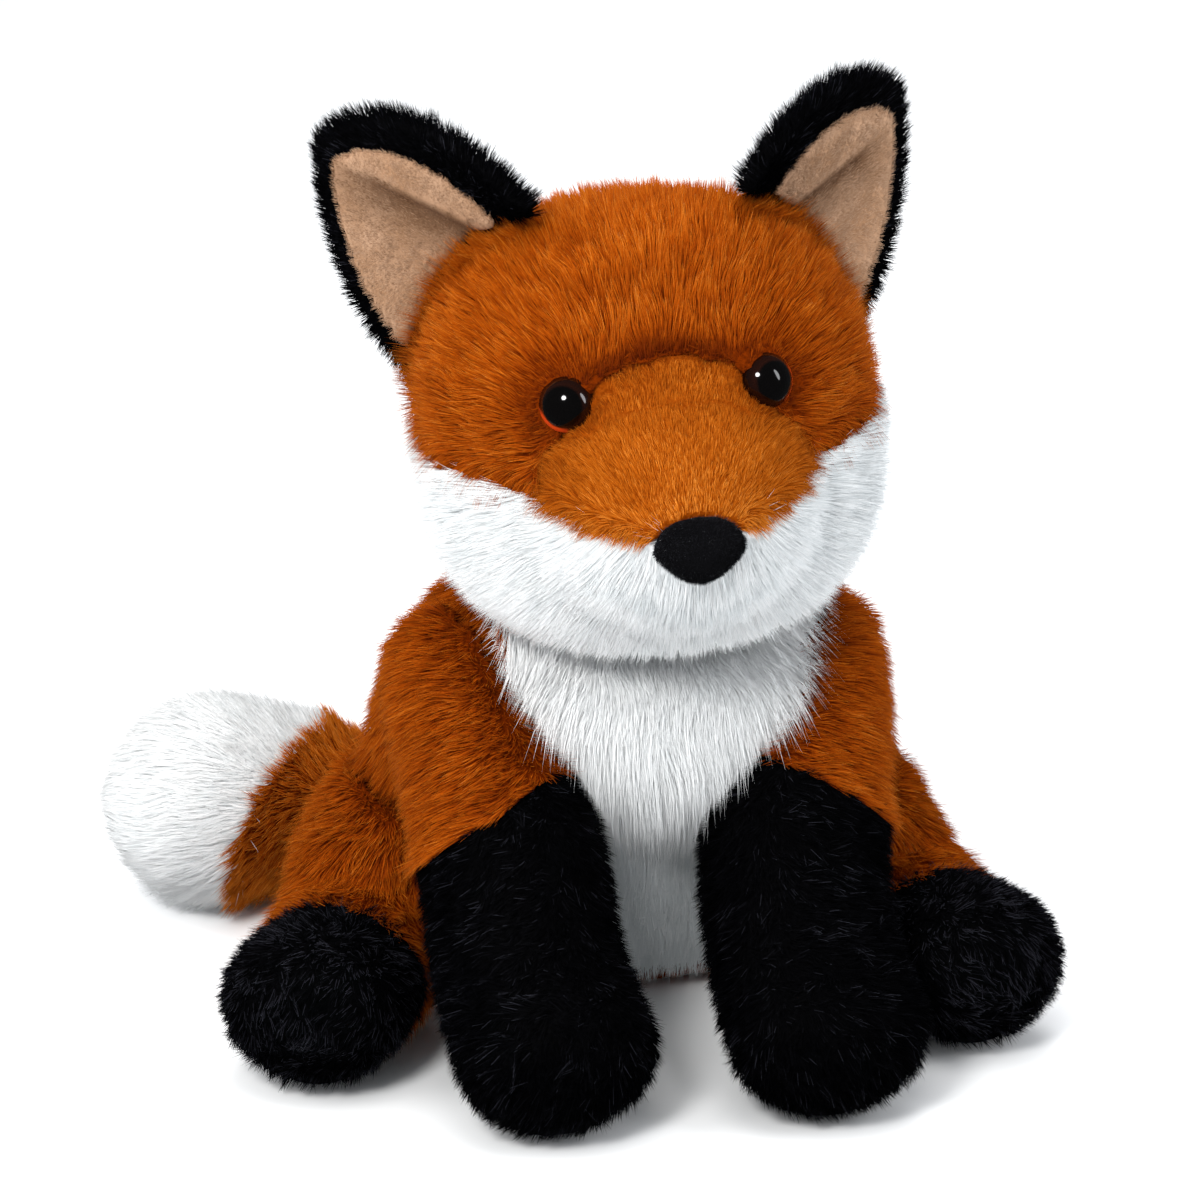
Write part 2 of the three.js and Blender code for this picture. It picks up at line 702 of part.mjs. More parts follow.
// Hind legs
function hipOf(side) {
  return vec(side < 0 ? -hip.left : hip.right, hindLeg.back, hindLeg.height);
}

function hindLegRows(side) {
  const splay = rad(side < 0 ? hindSplay.left : hindSplay.right);
  const start = hipOf(side);
  return hindLegShares.map(([along, down, width, depth]) => ({
    at: vec(
      start.x + side * Math.sin(splay) * hindLeg.length * along,
      start.y - Math.cos(splay) * hindLeg.length * along,
      start.z - (hindLeg.height - hindLeg.footHeight) * down,
    ),
    halfWidth: hindLeg.radius * width,
    halfDepth: hindLeg.radius * depth,
  }));
}

function hindLegForm(side, detail) {
  return limb(hindLegRows(side), AXIS_X, detail);
}

function hindLegSet(side, frontRoom) {
  const parts = stuffed([hindLegForm(side, fine)], [hindLegForm(side, coarse)]);
  const centre = hipOf(side);
  const angles = stops(0, side * -legSpread, spreadStops);
  const clear = swept(torsoParts.room, AXIS_Z, centre, angles).add(frontRoom).add(underFloor);
  const berth = swept(torsoParts.berth, AXIS_Z, centre, angles).add(frontRoom).add(underFloor);
  const shell = parts.outer.subtract(parts.hollow).subtract(clear);
  const rows = hindLegRows(side);
  const forward = rows[rows.length - 1].at.clone().sub(centre).setZ(0).normalize();
  const seamPoint = centre.clone().addScaledVector(forward, hindLeg.ankle);
  const ahead = beyondPlane(seamPoint.clone().addScaledVector(forward, gap / 2), forward);
  const behind = beyondPlane(seamPoint.clone().addScaledVector(forward, -gap / 2), forward.clone().negate());
  return {
    thigh: mainBody(shell.intersect(behind)),
    foot: mainBody(shell.intersect(ahead)),
    stuffing: mainBody(parts.stuffing.subtract(berth)),
    room: parts.room,
  };
}

// Tail
const tailRoot = vec(-tail.root, tail.back, 0);

function tailRows() {
  return tailShares.map(([along, back, radius]) => ({
    at: vec(-tail.root - tail.reach * along, tail.back + tail.sweep * back, tail.radius * radius - pressed),
    halfWidth: tail.radius * radius,
    halfDepth: tail.radius * radius,
  }));
}

function tailSet(legRoom) {
  const form = (detail) => limb(tailRows(), AXIS_Z, detail);
  const parts = stuffed([form(fine)], [form(coarse)]);
  const angles = stops(0, tailSwing, swingStops);
  const clear = swept(torsoParts.room.add(legRoom), AXIS_Z, tailRoot, angles).add(underFloor);
  const shell = parts.outer.subtract(parts.hollow).subtract(clear);
  const rows = tailRows();
  const tip = rows[rows.length - 1].at;
  const tilt = rad(tailSeam.tilt);
  const turn = rad(tailSeam.turn);
  const along = vec(-Math.cos(turn) * Math.cos(tilt), Math.sin(turn) * Math.cos(tilt), Math.sin(tilt));
  const seamPoint = tip.clone().addScaledVector(along, -tailSeam.fromTip);
  const beyond = beyondPlane(seamPoint.clone().addScaledVector(along, gap / 2), along);
  const before = beyondPlane(seamPoint.clone().addScaledVector(along, -gap / 2), along.clone().negate());
  return {
    brush: mainBody(shell.intersect(before)),
    tip: mainBody(shell.intersect(beyond)),
    stuffing: mainBody(parts.stuffing.subtract(clear)),
  };
}

// Head pieces, cut by all that the torso passes through as the neck turns
function headSet() {
  const turns = stops(-neck.turn, neck.turn, turnStops);
  const trunk = swept(trunkRoom, AXIS_Z, neckCentre, turns).hull();
  const clear = swept(torsoParts.room, AXIS_Z, neckCentre, turns).add(trunk);
  const shell = headParts.outer.subtract(headParts.hollow).subtract(clear);
  const seamNormal = vec(0, -Math.sin(rad(cheekSeam.slope)), Math.cos(rad(cheekSeam.slope)));
  const up = seamNormal.transformDirection(headPlace);
  const seamPoint = vec(0, 0, cheekSeam.lift).applyMatrix4(headPlace);
  const above = beyondPlane(seamPoint.clone().addScaledVector(up, gap / 2), up);
  const below = beyondPlane(seamPoint.clone().addScaledVector(up, -gap / 2), up.clone().negate());
  const eyes = [-1, 1].map(eyeSet);
  const noseParts = noseSet();
  const fittings = [...eyes, noseParts];
  const sockets = joined(fittings.flatMap((set) => [set.socket, set.shaft, set.recess]));
  const pockets = joined(fittings.flatMap((set) => [set.socket, set.pocket]));
  const upper = shell.intersect(above).subtract(sockets);
  return {
    crown: mainBody(upper.subtract(frontPanel(browOutline(gap), headPlace))),
    muzzle: mainBody(upper.intersect(frontPanel(browOutline(0), headPlace))),
    cheeks: mainBody(shell.intersect(below).subtract(sockets)),
    stuffing: mainBody(headParts.stuffing.subtract(clear).subtract(pockets)),
    eyes,
    nose: noseParts,
  };
}

// Torso pieces
function torsoSet() {
  const shell = torsoParts.outer.subtract(torsoParts.hollow).subtract(underFloor);
  const seatTop = beyondPlane(vec(0, 0, seat.seamHeight), AXIS_Z);
  const seatRoom = beyondPlane(vec(0, 0, seat.seamHeight - gap), AXIS_Z);
  return {
    back: mainBody(shell.intersect(seatTop).subtract(bibPanel(gap)).subtract(bellyPanel(gap))),
    bib: mainBody(shell.intersect(bibPanel(0))),
    belly: mainBody(shell.intersect(bellyPanel(0)).subtract(bibPanel(gap))),
    seat: mainBody(shell.subtract(seatRoom)),
    stuffing: mainBody(torsoParts.stuffing.subtract(bagPocket())),
    bag: solidFrom(bagForm()),
  };
}

// Materials
const cloth = (color) => new THREE.MeshStandardMaterial({ color, roughness: 0.95, metalness: 0 });
const glossy = (color, roughness) => new THREE.MeshStandardMaterial({ color, roughness, metalness: 0 });
const russet = cloth(0xb4571b);
const fawn = cloth(0xc8793a);
const white = cloth(0xeef2f2);
const black = cloth(0x131316);
const tan = cloth(0xbd9773);
const wadding = cloth(0xe6e2d8);
const canvas = cloth(0xd8d0bc);
const eyePlastic = glossy(0x0a0808, 0.08);
const whitePlastic = glossy(0xdddddd, 0.4);
const noseFlock = cloth(0x0c0c0e);

// Assembly
const fox = new THREE.Group();

function addBody(pieces) {
  const body = new THREE.Group();
  for (const [name, solid, material] of pieces) {
    const mesh = new THREE.Mesh(geometryFrom(solid), material);
    mesh.name = name;
    body.add(mesh);
  }
  fox.add(body);
}

const torsoPieces = torsoSet();
addBody([
  ['back_skin', torsoPieces.back, russet],
  ['chest_bib', torsoPieces.bib, white],
  ['belly_skin', torsoPieces.belly, white],
  ['seat_panel', torsoPieces.seat, russet],
  ['torso_stuffing', torsoPieces.stuffing, wadding],
  ['pellet_bag', torsoPieces.bag, canvas],
]);

const headPieces = headSet();
addBody([
  ['crown_skin', headPieces.crown, russet],
  ['muzzle_skin', headPieces.muzzle, fawn],
  ['cheek_skin', headPieces.cheeks, white],
  ['head_stuffing', headPieces.stuffing, wadding],
  ['eye_left', headPieces.eyes[0].eye, eyePlastic],
  ['eye_right', headPieces.eyes[1].eye, eyePlastic],
  ['eye_washer_left', headPieces.eyes[0].washer, whitePlastic],
  ['eye_washer_right', headPieces.eyes[1].washer, whitePlastic],
  ['nose', headPieces.nose.nose, noseFlock],
  ['nose_washer', headPieces.nose.washer, whitePlastic],
]);

const hindRooms = [];
for (const [side, name] of [[-1, 'left'], [1, 'right']]) {
  const earPieces = earParts(side);
  addBody([
    [`ear_back_${name}`, earPieces.back, black],
    [`ear_lining_${name}`, earPieces.lining, tan],
  ]);
  const front = frontLegSet(side);
  addBody([
    [`sleeve_${name}`, front.sleeve, russet],
    [`stocking_${name}`, front.stocking, black],
    [`front_leg_stuffing_${name}`, front.stuffing, wadding],
  ]);
  const hind = hindLegSet(side, front.room);
  addBody([
    [`thigh_skin_${name}`, hind.thigh, russet],
    [`foot_skin_${name}`, hind.foot, black],
    [`hind_leg_stuffing_${name}`, hind.stuffing, wadding],
  ]);
  hindRooms.push(hind.room);
}

const tailPieces = tailSet(hindRooms[0]);
addBody([
  ['tail_skin', tailPieces.brush, russet],
  ['tail_tip_skin', tailPieces.tip, white],
  ['tail_stuffing', tailPieces.stuffing, wadding],
]);

export default fox;
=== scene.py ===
import json
import math

import bpy
import numpy as np
from mathutils import Matrix, Vector
from mathutils.bvhtree import BVHTree
from mathutils.kdtree import KDTree

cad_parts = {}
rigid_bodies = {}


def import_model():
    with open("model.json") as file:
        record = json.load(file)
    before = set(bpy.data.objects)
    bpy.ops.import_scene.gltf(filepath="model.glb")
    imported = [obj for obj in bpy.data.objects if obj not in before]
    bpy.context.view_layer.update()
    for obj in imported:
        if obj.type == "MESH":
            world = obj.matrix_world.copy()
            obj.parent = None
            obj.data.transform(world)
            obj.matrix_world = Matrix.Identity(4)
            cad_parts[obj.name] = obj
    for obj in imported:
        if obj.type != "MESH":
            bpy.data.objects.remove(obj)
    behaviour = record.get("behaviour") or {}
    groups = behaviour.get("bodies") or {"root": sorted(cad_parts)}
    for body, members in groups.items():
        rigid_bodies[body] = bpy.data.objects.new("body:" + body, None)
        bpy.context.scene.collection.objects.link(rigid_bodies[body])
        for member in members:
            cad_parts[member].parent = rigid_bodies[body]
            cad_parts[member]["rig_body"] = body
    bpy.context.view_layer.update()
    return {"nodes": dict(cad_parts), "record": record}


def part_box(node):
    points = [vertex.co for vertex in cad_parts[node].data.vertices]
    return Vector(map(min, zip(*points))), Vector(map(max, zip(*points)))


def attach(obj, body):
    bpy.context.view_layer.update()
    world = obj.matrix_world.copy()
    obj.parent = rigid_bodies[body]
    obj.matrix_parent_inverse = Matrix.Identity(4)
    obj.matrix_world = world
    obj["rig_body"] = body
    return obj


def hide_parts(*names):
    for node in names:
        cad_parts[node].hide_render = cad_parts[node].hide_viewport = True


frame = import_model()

scene = bpy.context.scene

# Studio: a plain pale floor, a key lamp near the camera, wide weaker lamps round it and a pale room.
# The camera stands a little to the left of the fox's middle and looks down on it by twenty degrees.
# Gloss mirrors the key and right lamps only, with little of the room, so that the eyes stay dark.
aim = Vector((-0.0146, -0.040, 0.1424))
room_strength, mirrored_strength = 0.81, 0.06


def towards(azimuth, elevation):
    """The way from the aim to something seen at that azimuth and elevation, in degrees."""
    a, e = math.radians(azimuth), math.radians(elevation)
    return Vector((math.sin(a) * math.cos(e), -math.cos(a) * math.cos(e), math.sin(e)))


def placed(obj, azimuth, elevation, distance):
    back = towards(azimuth, elevation)
    obj.location = aim + back * distance
    obj.rotation_euler = (-back).to_track_quat("-Z", "Y").to_euler()
    scene.collection.objects.link(obj)
    return obj


camera = placed(bpy.data.objects.new("camera", bpy.data.cameras.new("camera")), -9, 20, 1.5)
camera.data.sensor_width = 36
camera.data.lens = 137.6
scene.camera = camera
scene.view_settings.view_transform = "Standard"

for name, azimuth, elevation, distance, width, height, watts, mirrored, colour in (
    ("key_lamp", -32, 41, 1.6, 0.42, 0.42, 16.5, True, (1, 0.99, 0.97)),
    ("overhead_lamp", -5, 74, 1.5, 0.9, 0.9, 6.5, False, (1, 0.98, 0.95)),
    ("left_lamp", -76, 30, 1.6, 1.0, 1.0, 9, False, (1, 0.98, 0.96)),
    ("right_lamp", 58, 30, 1.6, 0.34, 1.0, 6, True, (0.97, 0.98, 1)),
    ("back_lamp", 160, 50, 1.6, 0.8, 0.8, 11, False, (1, 1, 1)),
):
    light = bpy.data.lights.new(name, "AREA")
    light.shape, light.size, light.size_y = "ELLIPSE", width, height
    light.energy, light.color = watts, colour
    lamp = placed(bpy.data.objects.new(name, light), azimuth, elevation, distance)
    lamp.visible_glossy = mirrored

room = bpy.data.worlds.new("room")
scene.world = room
room.use_nodes = True
backdrop = room.node_tree.nodes["Background"]
backdrop.inputs["Color"].default_value = (0.95, 0.97, 1, 1)

bpy.ops.mesh.primitive_plane_add(size=8, location=(0, 0, -0.0003))
floor = bpy.context.object
floor.name = "floor"
floor.visible_glossy = False


class Dye:
    """A shader socket that sums and products work on, and the maker of every other node."""

    def __init__(self, tree, socket=None):
        self.tree, self.socket = tree, socket

    def make(self, kind, inputs=(), output=0, stops=None, **settings):
        made = self.tree.nodes.new(kind)
        for key, value in settings.items():
            setattr(made, key, value)
        if stops:
            elements = made.color_ramp.elements
            elements.remove(elements[1])
            elements[0].position, elements[0].color = stops[0][0], (*stops[0][1], 1)
            for place, colour in stops[1:]:
                elements.new(place).color = (*colour, 1)
        for key, value in dict(inputs).items():
            if isinstance(value, Dye):
                self.tree.links.new(value.socket, made.inputs[key])
            else:
                made.inputs[key].default_value = value
        return Dye(self.tree, made.outputs[output])

    def maths(self, operation, *values):
        return self.make("ShaderNodeMath", enumerate(values), operation=operation)

    def __add__(self, other):
        return self.maths("ADD", self, other)

    def __sub__(self, other):
        return self.maths("SUBTRACT", self, other)

    def __rsub__(self, other):
        return self.maths("SUBTRACT", other, self)

    def __mul__(self, other):
        return self.maths("MULTIPLY", self, other)

    __radd__ = __add__
    __rmul__ = __mul__

    def blended(self, factor, other, blend_type="MIX"):
        inputs = [(0, factor), (6, self), (7, other)]
        return self.make("ShaderNodeMix", inputs, 2, data_type="RGBA", blend_type=blend_type)

    def noise(self, size, detail=3):
        """Noise fixed to the object, in lumps of about that size."""
        at = self.make("ShaderNodeTexCoord", output="Object")
        return self.make("ShaderNodeTexNoise", [("Vector", at), ("Scale", 1 / size), ("Detail", detail)])

    def ramp(self, *stops):
        return self.make("ShaderNodeValToRGB", [(0, self)], stops=stops)


def finish(name, paint, **constants):
    """A material: paint gets a Dye and gives back the links of the shader's own sockets."""
    material = bpy.data.materials.new(name)
    material.use_nodes = True
    tree = material.node_tree
    tree.nodes.clear()
    links = {**constants, **paint(Dye(tree))}
    shader = Dye(tree).make("ShaderNodeBsdfPrincipled", links.items())
    out = tree.nodes.new("ShaderNodeOutputMaterial")
    tree.links.new(shader.socket, out.inputs["Surface"])
    return material


glossy_ray = Dye(room.node_tree).make("ShaderNodeLightPath", output="Is Glossy Ray")
strength = room_strength - glossy_ray * (room_strength - mirrored_strength)
room.node_tree.links.new(strength.socket, backdrop.inputs["Strength"])


def floor_paint(dye):
    return {"Base Color": dye.noise(0.6).ramp((0.3, (0.9, 0.91, 0.92)), (0.7, (0.93, 0.94, 0.95)))}


floor.data.materials.append(finish("pale_floor", floor_paint, Roughness=0.8))


# Torso core: loose polyester fibre, packed round a cotton bag of pellets that weighs the seat down.
# Both are closed soft solids that nothing shows of once the skins are sewn over them.
def selected(piece):
    bpy.ops.object.select_all(action="DESELECT")
    piece.select_set(True)
    bpy.context.view_layer.objects.active = piece


def soft_copy(node, name, voxel):
    """An evenly meshed copy of a CAD solid, in place of it."""
    body = frame["nodes"][node]["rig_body"]
    piece = bpy.data.objects.new(name, frame["nodes"][node].data.copy())
    scene.collection.objects.link(piece)
    piece.data.materials.clear()
    selected(piece)
    bpy.ops.object.mode_set(mode="EDIT")
    bpy.ops.mesh.select_all(action="SELECT")
    bpy.ops.mesh.remove_doubles(threshold=0.00001)
    bpy.ops.object.mode_set(mode="OBJECT")
    even = piece.modifiers.new("even", "REMESH")
    even.mode, even.voxel_size = "VOXEL", voxel
    bpy.ops.object.modifier_apply(modifier=even.name)
    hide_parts(node)
    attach(piece, body)
    return piece


def arrays(mesh):
    """Places and normals of a mesh's vertices."""
    places, normals = np.empty(len(mesh.vertices) * 3), np.empty(len(mesh.vertices) * 3)
    mesh.vertices.foreach_get("co", places)
    mesh.vertices.foreach_get("normal", normals)
    return places.reshape(-1, 3), normals.reshape(-1, 3)


def smoothed(piece, chosen, rounds):
    """Relaxes the chosen vertices of a mesh."""
    selected(piece)
    bpy.ops.object.mode_set(mode="EDIT")
    bpy.ops.mesh.select_mode(type="VERT")
    bpy.ops.mesh.select_all(action="DESELECT")
    bpy.ops.object.mode_set(mode="OBJECT")
    piece.data.vertices.foreach_set("select", chosen)
    bpy.ops.object.mode_set(mode="EDIT")
    bpy.ops.mesh.vertices_smooth(factor=0.5, repeat=rounds)
    bpy.ops.object.mode_set(mode="OBJECT")
    bpy.ops.object.shade_smooth()


def reshape(piece, places):
    piece.data.vertices.foreach_set("co", places.ravel())
    piece.data.update()


def filling(node, name, material, slack=0.003):
    """Stuffing: the CAD solid, rounded and drawn in a little from the cloth round it."""
    piece = soft_copy(node, name, voxel=0.005)
    smoothed(piece, np.ones(len(piece.data.vertices), bool), 3)
    places, normals = arrays(piece.data)
    reshape(piece, places - normals * slack)
    piece.data.materials.append(material)
    return piece


def fibre_paint(dye):
    fluff = dye.noise(0.004, 6)
    bump = dye.make("ShaderNodeBump", [("Height", fluff), ("Distance", 0.002)])
    return {"Base Color": fluff.ramp((0.3, (0.62, 0.6, 0.55)), (0.7, (0.86, 0.84, 0.8))), "Normal": bump}


def canvas_paint(dye):
    at = dye.make("ShaderNodeTexCoord", output="Object")
    weave = dye.make("ShaderNodeTexWave", [("Vector", at), ("Scale", 900), ("Distortion", 0.6)])
    bump = dye.make("ShaderNodeBump", [("Height", weave), ("Distance", 0.0003)])
    return {"Base Color": weave.ramp((0, (0.5, 0.45, 0.36)), (1, (0.72, 0.66, 0.54))), "Normal": bump}


fibre = finish("polyester_fibre", fibre_paint, Roughness=0.9)
filling("torso_stuffing", "torso_filling", fibre)
filling("pellet_bag", "pellet_pouch", finish("cotton_canvas", canvas_paint, Roughness=0.85))


# Torso skins: russet long-pile fur round the back and under the seat, a short white belly panel, and a
# long-haired white bib that turns russet at the sides of the neck. Each is knitted cloth with its pile,
# cut as one panel and sewn edge to edge.
def solid_tree(nodes):
    points, faces = [], []
    for node in nodes:
        mesh = frame["nodes"][node].data
        faces += [[i + len(points) for i in face.vertices] for face in mesh.polygons]
        points += [vertex.co.copy() for vertex in mesh.vertices]
    return BVHTree.FromPolygons(points, faces)


members = frame["record"]["behaviour"]["bodies"]
own_tree = {body: solid_tree(nodes) for body, nodes in members.items()}
hard = ("eye_left", "eye_right", "nose")
other_tree = {
    body: solid_tree([n for other in members for n in members[other] if other != body or n in hard])
    for body in members
}
near_tree = {
    body: solid_tree([n for other in members for n in members[other] if other != body])
    for body in members
}


def unit(ways):
    return ways / np.maximum(np.linalg.norm(ways, axis=-1, keepdims=True), 1e-9)


def outside(piece, tree, probe):
    """Which vertices have open air, and no solid of their own body, just off the surface."""
    places, normals = arrays(piece.data)
    free = []
    for place, normal in zip((places + normals * probe).tolist(), normals.tolist()):
        _, facing, _, _ = tree.ray_cast(place, normal)
        free.append(facing is None or facing.dot(Vector(normal)) < 0)
    return np.array(free)


def spread(share, edges, rounds):
    """Averages a value per vertex with its neighbours'."""
    count = np.bincount(edges.ravel(), minlength=len(share))
    for _ in range(rounds):
        total = np.bincount(edges[:, 0], share[edges[:, 1]], len(share))
        total += np.bincount(edges[:, 1], share[edges[:, 0]], len(share))
        share = (share + total) / (1 + count)
    return share


cloths = ("skin", "bib", "panel", "back", "lining")


def nearness(tree, places, most):
    """From 1 where the tree's solids touch to 0 at that distance from them."""
    found = [tree.find_nearest(place, most)[3] for place in places.tolist()]
    return 1 - np.array([most if gap is None else gap for gap in found]) / most


thinnest = 0.0014  # the least that stays of a solid's wall where the cloth is set in
tight, squash = 0.010, 0.75  # so near a neighbour, that share of the inset is given back


def fur_skin(node, name, material, inset, voxel=0.0032, probe=0.002, rounds=8, overlap=0.0006):
    """The cloth of a fur panel: rounded, and set in from the solid by what the pile takes up."""
    piece = soft_copy(node, name, voxel)
    body = piece["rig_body"]
    solid = solid_tree([node])
    others = [n for n in members[body] if n != node and n.partition("_")[2].startswith(cloths)]
    sewn_on = solid_tree(others)
    free = outside(piece, own_tree[body], probe).astype(float)
    edges = np.empty(len(piece.data.edges) * 2, int)
    piece.data.edges.foreach_get("vertices", edges)
    edges = edges.reshape(-1, 2)
    share = spread(free, edges, 2)
    smoothed(piece, share > 0.999, rounds)
    places, normals = arrays(piece.data)
    pressed = (places[:, 2] < 0.003) & (normals[:, 2] < -0.7)
    core = (share > 0.999)[:, None]
    out = np.stack([spread(way, edges, 6) for way in (normals * core).T], 1)
    out = np.where(np.linalg.norm(out, axis=1, keepdims=True) > 0.002, unit(out), normals)
    share = spread(free * ~pressed, edges, 2)
    depth = inset(places, out) if callable(inset) else inset
    depth = depth * (1 - squash * nearness(near_tree[body], places, tight))
    starts = (places - out * 1e-4).tolist()
    walls = [solid.ray_cast(start, way, 0.01)[3] for start, way in zip(starts, (-out).tolist())]
    depth = np.minimum(depth, [max((wall or 0.01) - thinnest, 0) for wall in walls])
    places += out * (-share * depth)[:, None] + normals * ((share < 0.9) * overlap)[:, None]
    places[:, 2] = np.maximum(places[:, 2], 0)
    reshape(piece, places)
    piece.data.materials.append(material)
    return piece, share, out, sewn_on


def ripple(at, size, seed):
    """Smooth random waves of about that length, from about -1 to 1."""
    draw = np.random.default_rng(seed)
    ways = unit(draw.normal(size=(9, 3))) * 2 * math.pi / (size * draw.uniform(0.7, 1.4, (9, 1)))
    return np.sin(at @ ways.T + draw.uniform(0, 2 * math.pi, 9)).sum(1) / 3


hair_band = 1 / 16  # of the colour map's height
hair_lane = 0.004  # of the colour map's width
hair_roll = 0.5  # how far a hair turns from lying with its flat side up, in radians


def strands(name, at, ways, lengths, thickness, normals, tint, bend, rounding):
    """One mesh of three-sided hairs that taper to a point, with one bend each where bend is given."""
    count = len(at)
    draw = np.random.default_rng(len(name))
    across = unit(np.cross(ways, normals))
    over = np.cross(ways, across)
    angles = (np.radians([210, 330, 450]) + draw.normal(0, hair_roll, (count, 1)))[:, :, None]
    ring = np.cos(angles) * across[:, None] + np.sin(angles) * over[:, None]
    tips = at + ways * lengths[:, None]
    if bend is None:
        rows = [at[:, None] + ring * thickness[:, None, None], tips[:, None]]
        turns = [ring, ways[:, None]]
        faces = [(0, 1, 3), (1, 2, 3), (2, 0, 3)]
        heights = [(0, 0, 1)] * 3
    else:
        middle = at + ways * lengths[:, None] * 0.5
        rows = [
            at[:, None] + ring * thickness[:, None, None],
            middle[:, None] + ring * thickness[:, None, None] * 0.8,
            (tips + bend * lengths[:, None])[:, None],
        ]
        turns = [ring, ring, ways[:, None]]
        low = [(a, b, b + 3) for a, b in ((0, 1), (1, 2), (2, 0))]
        high = [(a, b + 3, a + 3) for a, b in ((0, 1), (1, 2), (2, 0))]
        faces = low + high + [(3, 4, 6), (4, 5, 6), (5, 3, 6)]
        heights = [(0, 0, 0.5)] * 3 + [(0, 0.5, 0.5)] * 3 + [(0.5, 0.5, 1)] * 3
    places = np.concatenate(rows, 1)
    shading = unit(np.concatenate(turns, 1) * rounding + normals[:, None])
    corners = (np.array(faces)[None] + np.arange(count)[:, None, None] * places.shape[1]).ravel()
    lanes = np.tile([-hair_lane, hair_lane, 0], len(faces))
    u = np.clip(tint, 2 * hair_lane, 1 - 2 * hair_lane)[:, None] + lanes[None]
    v = np.broadcast_to(np.array(heights, float).ravel() * hair_band, u.shape)
    mesh = bpy.data.meshes.new(name)
    mesh.vertices.add(places.shape[0] * places.shape[1])
    mesh.vertices.foreach_set("co", places.ravel())
    mesh.loops.add(len(corners))
    mesh.loops.foreach_set("vertex_index", corners)
    mesh.polygons.add(len(corners) // 3)
    mesh.polygons.foreach_set("loop_start", np.arange(0, len(corners), 3))
    mesh.polygons.foreach_set("use_smooth", np.ones(len(corners) // 3, bool))
    mesh.uv_layers.new(name="OFBake").data.foreach_set("uv", np.stack([u, v], -1).ravel())
    mesh.update(calc_edges=True)
    mesh.normals_split_custom_set_from_vertices(shading.reshape(-1, 3))
    piece = bpy.data.objects.new(name, mesh)
    scene.collection.objects.link(piece)
    return piece


pressed_pile, root_depth, floor_gap = 0.0012, 0.0004, 0.0004
crevice, pushed_from = 0.003, 0.008  # how near a blocking piece thins the pile, and pushes its tips


def laid(way, normal):
    """A way laid flat on the surface."""
    return unit(way - normal * (way * normal).sum(1, keepdims=True))


